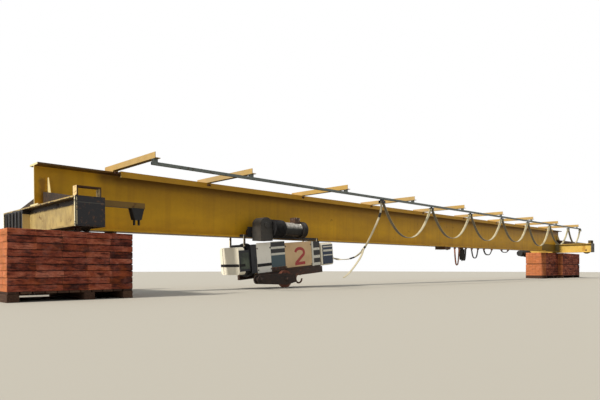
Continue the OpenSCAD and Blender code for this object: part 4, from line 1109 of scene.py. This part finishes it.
def pack_core(pack):
    """Centre, size and tone of the dark heart of each tier, so that no light shows through its joints; that
    dark tone is painted shade deep in the joints.
    """
    high = pack["courses"] * COURSE_H
    tier = np.arange(pack["tiers"])
    tall = np.where(tier == pack["tiers"] - 1, high - CORE_INSET, high)
    same = np.ones(len(tier))
    centre = np.stack([same * (pack["x"] + pack["w"] / 2), same * (pack["y"] + pack["l"] / 2),
                       PALLET_H + tier * (high + TIER_BOARD) + tall / 2], axis=1)
    size = np.stack([same * (pack["w"] - 2 * CORE_INSET), same * (pack["l"] - 2 * CORE_INSET), tall], axis=1)
    return centre, size, CORE_SHADE_TONE * same


def make_brick_packs():
    """Dry stacked bricks, each with its own size, place and tone inside the pack's outline."""
    rng = np.random.default_rng(11)
    cells = [brick_cells(pack, rng) for pack in PACKS] + [pack_core(pack) for pack in PACKS]
    centres, sizes, tones = (np.concatenate(c) for c in zip(*cells))
    piece = put("stacked_bricks", boxes(world(centres), sizes, BRICK_CHAMFER), "brick", "crane",
                smooth=False, values=np.repeat(tones, BOX_POINTS))
    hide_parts("brick_packs")


def deck_boards(x, y, w, l, z, thick, rng):
    """Boards of one deck, laid along Y, edge to edge with open joints."""
    n = max(3, round(w / settings().board_width))
    gap = rng.uniform(0.006, 0.016, n)
    across = x + (np.arange(n) + 0.5) * w / n
    centre = np.stack([across, np.full(n, y + l / 2), np.full(n, z + thick / 2)], axis=1)
    size = np.stack([w / n - gap, l - rng.uniform(0, 0.012, n), np.full(n, thick)], axis=1)
    return centre, size


def make_pallets():
    """Pallet decks of single boards on solid bearers, and the boards between the tiers."""
    rng = np.random.default_rng(5)
    rows = []
    high = PALLET_H - DECK_T
    for pack in PACKS:
        x, y, w, l = (pack[key] for key in "xywl")
        decks = [(high, DECK_T, 0.0)]
        if pack["tiers"] > 1:
            decks.append((PALLET_H + pack["courses"] * COURSE_H, TIER_BOARD, TIER_INSET))
        for z, thick, inset in decks:
            rows.append(deck_boards(x + inset, y + inset, w - 2 * inset, l - 2 * inset, z, thick, rng))
        for share in BEARER_AT:
            rows.append(([[x + share * (w - BEARER_W) + BEARER_W / 2, y + l / 2, high / 2]],
                         [[BEARER_W - 0.002, l - 0.004, high]]))
    centres, sizes = (np.concatenate(column) for column in zip(*rows))
    tones = rng.uniform(0.0, 0.45, len(centres))
    piece = put("pallet_boards", boxes(world(centres), sizes, 0.004), "timber", "crane",
                smooth=False, values=np.repeat(tones, BOX_POINTS))
    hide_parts("pallets")


def panel(front, thick, x0, x1, z0, z1, own_thick=None):
    """A thin plate on the hoist's near side, from the plane that its back lies on."""
    thick = own_thick or thick
    centre = [((x0 + x1) / 2, front - thick / 2, (z0 + z1) / 2)]
    return move(boxes(centre, [(x1 - x0, thick, z1 - z0)], 0.0008), hoist)


def numeral_path():
    """Middle lines of a hand painted 2, in a unit box: its bowl and slanting neck, and its foot."""
    bowl = np.radians(np.linspace(170, -30, 28))
    arc = np.stack([0.50 + 0.38 * np.cos(bowl), 0.70 + 0.24 * np.sin(bowl)], axis=1)
    neck = np.linspace(arc[-1], (0.10, 0.09), 12)[1:]
    foot = np.linspace((0.06, 0.08), (0.94, 0.10), 12)
    return smooth_path(np.concatenate([arc[::3], neck[::3]]), 5), foot


def make_hoist_panels():
    """Painted panels, strips and stripes on the near side of the hoist, and its plain numeral."""
    for name, finish, slot, front, thick, spans in HOIST_PANELS:
        put(name, join([panel(front, thick, *span) for span in spans]), finish, "trolley")
    strokes = []
    for line in numeral_path():
        xz = NUMERAL_AT + line * NUMERAL_SIZE
        path = np.insert(xz, 1, HOIST_OVER - STROKE_LIFT, axis=1)
        strokes.append(move(sweep(rounded(STROKE[1], STROKE[0], 16), path, (0, 1, 0)), hoist))
    put("red_numeral", join(strokes), "red", "trolley")


def make_left_cover():
    """The strap round the left cover's end and the black seams down it."""
    face = LEFT_FROM - STRAP_T / 2
    strap = boxes([(face, 0.0, STRAP_Z), ((LEFT_FROM + LEFT_TO) / 2, COVER_SIDE - 0.004, STRAP_Z)],
                  [(STRAP_T, STRAP_ROUND, STRAP_W), (LEFT_TO - LEFT_FROM + 0.002, STRAP_T, STRAP_W)], 0.001)
    put("left_cover_strap", move(strap, hoist), "rubber", "trolley")
    seams = boxes([(face + SEAM_T / 2, SEAM_Y, z) for z, long in SEAMS],
                  [(SEAM_T, SEAM_W, long) for z, long in SEAMS], 0.0005)
    put("left_cover_seam", move(seams, hoist), "black_stripe", "trolley")


def along_x(profile, y=MOTOR_Y, z=MOTOR_Z):
    """A profile of (X, radius) points turned about a line along the crane's X, in the world."""
    return move(scatter(lathe(profile, 48), [(0.0, y, z)], "+X"), crane)


def ring_fins(first, count, pitch, core, rim, thick):
    """Profile of thin rings on a core, from first on along X, as (X, radius) points."""
    profile = []
    for x in first + np.arange(count) * pitch:
        profile += [(x, core), (x + 0.1 * thick, rim), (x + 0.9 * thick, rim), (x + thick, core)]
    return profile


def make_travel_motor():
    """The travel motor: ring fins, cast silver body, terminal box and a dark fan cover with rings."""
    a, b, c, d = MOTOR_X
    fins = [(a, FIN_CORE)] + ring_fins(a + 0.010, 9, FIN_PITCH, FIN_CORE, FIN_R, FIN_T) + [(b, FIN_CORE)]
    piece = put("motor_fins", along_x(fins), "dark", "trolley")
    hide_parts("travel_motor")
    low = MOTOR_R - 0.007
    body = [(b, MOTOR_R - 0.006), (b + 0.004, MOTOR_R), (b + 0.022, MOTOR_R), (b + 0.026, low),
            (c - 0.026, low), (c - 0.022, MOTOR_R), (c - 0.004, MOTOR_R), (c, MOTOR_R - 0.006)]
    put("motor_body", along_x(body), "silver", "trolley")
    box = join([boxes([centre], [size], chamfer) for centre, size, chamfer in TERMINAL_BOX])
    put("motor_terminal_box", move(box, crane), "terminal", "trolley")
    fan = [(c, FIN_R - 0.004), (c + 0.004, FIN_R)]
    for x in (c + 0.030, c + 0.052, c + 0.074):
        fan += [(x, FIN_R), (x + 0.003, FIN_R - 0.006), (x + 0.008, FIN_R - 0.006), (x + 0.011, FIN_R)]
    fan += [(d - 0.014, FIN_R), (d - 0.004, FIN_R - 0.008), (d - 0.001, FIN_R - 0.026)]
    for r in (0.100, 0.080, 0.060, 0.040):
        fan += [(d - 0.001, r + 0.007), (d - 0.006, r + 0.005), (d - 0.006, r), (d - 0.001, r - 0.002)]
    put("motor_fan_cover", along_x(fan + [(d, 0.014)]), "fan", "trolley")


def make_hoist_bolts():
    """Screws of the hoist covers, bolts of the travel gearbox, and nuts of the axles and hook block."""
    screws = [(x, HOIST_OVER, z) for x in SCREW_X for z in SCREW_Z]
    put("hoist_screws", bolts(hoist(screws), "-Y", 0.014), "zinc_bolt", "trolley")

    x, z = GEARBOX_AT
    angle = np.radians(np.arange(0, 181, 30))
    heads = [(x + BOLT_CIRCLE * math.cos(a), GEARBOX_FACE, z + BOLT_CIRCLE * math.sin(a)) for a in angle]
    heads += [(x + side, GEARBOX_FACE, low) for side in (-BOLT_CIRCLE, BOLT_CIRCLE) for low in LOW_BOLTS_Z]
    cap = scatter(lathe(BEARING_CAP), crane([(x, GEARBOX_FACE, z)]), "-Y")
    put("gearbox_bolts", join([bolts(crane(heads), "-Y", 0.015), cap]), "gearbox", "trolley")

    near = bolts(crane([(x, -BOGIE_FACE, AXLE_Z) for x in AXLE_X[2:]]), "-Y", 0.023)
    far = bolts(crane([(x, BOGIE_FACE, AXLE_Z) for x in AXLE_X]), "+Y", 0.032)
    put("axle_nuts", join([near, far]), "wheel", "trolley")
    nuts = [bolts(crane([(x, y, z) for x, z in BLOCK_PINS]), facing, 0.048)
            for y, facing in zip(BLOCK_FACES, ("-Y", "+Y"))]
    put("block_nuts", join(nuts), "block", "trolley")


def make_festoon_bolts():
    """Bolts of the festoon arms and of the cable trolleys' saddles."""
    points = [(x + step, ARM_BOLT_Y, ARM_BOLT_Z) for x in ARM_X for step in ARM_BOLT_X]
    put("arm_bolts", bolts(crane(points), "-Y", 0.018), "rust", "crane")
    for k in range(1, CARRIERS + 1):
        points = [(carrier_x(k) + step, SADDLE_FACE, SADDLE_Z) for step in (-SADDLE_STEP, SADDLE_STEP)]
        body = "trolley" if k == 1 else "carrier_%d" % k
        put("saddle_bolts_%d" % k, bolts(crane(points), "-Y", 0.010), "zinc_bolt", body)


def make_carriage_details():
    """Ribs on the left wheel box, and the ring fins of the travel drives' motors at the far ends."""
    ribs = boxes([(RIB_X, y, RIB_Z) for y in RIB_Y], [RIB_SIZE] * len(RIB_Y), 0.003)
    put("wheel_box_ribs", move(ribs, crane), "gearbox", "crane")
    core = DRIVE_R - 0.004
    profile = [(DRIVE_X, core)]
    profile += ring_fins(DRIVE_X + 0.010, DRIVE_FINS, DRIVE_PITCH, core, DRIVE_R + 0.012, 0.008)
    profile.append((DRIVE_X + DRIVE_LEN, core))
    mirrored = [(GIRDER_LEN - x, r) for x, r in reversed(profile)]
    fins = join([along_x(row, DRIVE_Y, DRIVE_Z) for row in (profile, mirrored)])
    put("drive_fins", fins, "dark", "crane")


def make_welds():
    """Weld beads along the feet of the haunches and beside the gussets, at both ends of the girder."""
    rng = np.random.default_rng(3)
    beads = []
    low, (y0, y1), (z0, z1) = CARRIAGE_TOP + 0.002, HAUNCH_Y, GUSSET_Z
    for from_left, side in itertools.product((True, False), (-1, 1)):
        for foot in HAUNCH_X:
            x = foot if from_left else GIRDER_LEN - foot
            beads.append(bead((x, side * y0, low), (x, side * y1, low), rng))
        for edge in GUSSET_X:
            x, y = edge if from_left else GIRDER_LEN - edge, side * (WEB_T / 2 + 0.001)
            beads.append(bead((x, y, z0), (x, y, z1), rng, 0.008))
    put("weld_beads", move(join(beads), crane), "rust", "crane")


class CRANE_OT_stage(bpy.types.Operator):
    """Makes the camera, the lights, the floor and the backdrop"""

    bl_idname = "crane.stage"
    bl_label = "Stage"

    def execute(self, context):
        make_stage()
        return {"FINISHED"}


class CRANE_OT_tow_cable(bpy.types.Operator):
    """Makes the tow cable, its slack end and its tape"""

    bl_idname = "crane.tow_cable"
    bl_label = "Tow cable"

    def execute(self, context):
        make_tow_cable()
        return {"FINISHED"}


class CRANE_OT_cable_loops(bpy.types.Operator):
    """Makes the flat cable loops of the festoon row"""

    bl_idname = "crane.cable_loops"
    bl_label = "Cable loops"

    def execute(self, context):
        make_cable_loops()
        return {"FINISHED"}


class CRANE_OT_spare_cables(bpy.types.Operator):
    """Makes the spare cable loops on the far side"""

    bl_idname = "crane.spare_cables"
    bl_label = "Spare cables"

    def execute(self, context):
        make_spare_cables()
        return {"FINISHED"}


class CRANE_OT_finishes(bpy.types.Operator):
    """Gives the CAD nodes their finishes"""

    bl_idname = "crane.finishes"
    bl_label = "Finishes"

    def execute(self, context):
        finish_nodes()
        return {"FINISHED"}


class CRANE_OT_brick_packs(bpy.types.Operator):
    """Makes the stacked bricks"""

    bl_idname = "crane.brick_packs"
    bl_label = "Brick packs"

    def execute(self, context):
        make_brick_packs()
        return {"FINISHED"}


class CRANE_OT_pallets(bpy.types.Operator):
    """Makes the pallets and the boards between the tiers"""

    bl_idname = "crane.pallets"
    bl_label = "Pallets"

    def execute(self, context):
        make_pallets()
        return {"FINISHED"}


class CRANE_OT_hoist_panels(bpy.types.Operator):
    """Makes the painted panels and the numeral of the hoist"""

    bl_idname = "crane.hoist_panels"
    bl_label = "Hoist panels"

    def execute(self, context):
        make_hoist_panels()
        make_left_cover()
        return {"FINISHED"}


class CRANE_OT_travel_motor(bpy.types.Operator):
    """Makes the trolley's travel motor"""

    bl_idname = "crane.travel_motor"
    bl_label = "Travel motor"

    def execute(self, context):
        make_travel_motor()
        return {"FINISHED"}


class CRANE_OT_bolts(bpy.types.Operator):
    """Makes the bolts, screws and nuts of the hoist, the trolley and the festoon row"""

    bl_idname = "crane.bolts"
    bl_label = "Bolts"

    def execute(self, context):
        make_hoist_bolts()
        make_festoon_bolts()
        return {"FINISHED"}


class CRANE_OT_carriage_details(bpy.types.Operator):
    """Makes the ribs of the wheel box and the fins of the travel drives"""

    bl_idname = "crane.carriage_details"
    bl_label = "Ribs and fins"

    def execute(self, context):
        make_carriage_details()
        return {"FINISHED"}


class CRANE_OT_welds(bpy.types.Operator):
    """Makes the weld beads of the haunches and gussets"""

    bl_idname = "crane.welds"
    bl_label = "Welds"

    def execute(self, context):
        make_welds()
        return {"FINISHED"}


class CRANE_PT_looks(bpy.types.Panel):
    """Buttons and settings of the crane's looks"""

    bl_idname = "CRANE_PT_looks"
    bl_label = "Crane looks"
    bl_space_type = "VIEW_3D"
    bl_region_type = "UI"
    bl_category = "Crane"

    def draw(self, context):
        for group in (context.scene.crane_looks, context.scene.crane_colours):
            for name in type(group).__annotations__:
                self.layout.prop(group, name)
        for operator in OPERATORS:
            self.layout.operator(operator.bl_idname)


# In the order in which main() calls them: camera, lights and cords first
OPERATORS = (
    CRANE_OT_stage, CRANE_OT_tow_cable, CRANE_OT_cable_loops, CRANE_OT_spare_cables, CRANE_OT_finishes,
    CRANE_OT_brick_packs, CRANE_OT_pallets, CRANE_OT_hoist_panels, CRANE_OT_travel_motor, CRANE_OT_bolts,
    CRANE_OT_carriage_details, CRANE_OT_welds,
)
CLASSES = (CraneSettings, CraneColours) + OPERATORS + (CRANE_PT_looks,)


def register():
    """Registers the classes and the scene's settings and colours."""
    for cls in CLASSES:
        bpy.utils.register_class(cls)
    bpy.types.Scene.crane_looks = PointerProperty(type=CraneSettings)
    bpy.types.Scene.crane_colours = PointerProperty(type=CraneColours)


def unregister():
    """Takes the classes, the settings and the colours away again."""
    del bpy.types.Scene.crane_colours
    del bpy.types.Scene.crane_looks
    for cls in reversed(CLASSES):
        bpy.utils.unregister_class(cls)


def main():
    """Makes the whole scene."""
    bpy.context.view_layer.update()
    register()
    for name in ("stage", "tow_cable", "cable_loops", "spare_cables", "finishes", "brick_packs", "pallets",
                 "hoist_panels", "travel_motor", "bolts", "carriage_details", "welds"):
        getattr(bpy.ops.crane, name)()


if __name__ == "__main__":
    main()
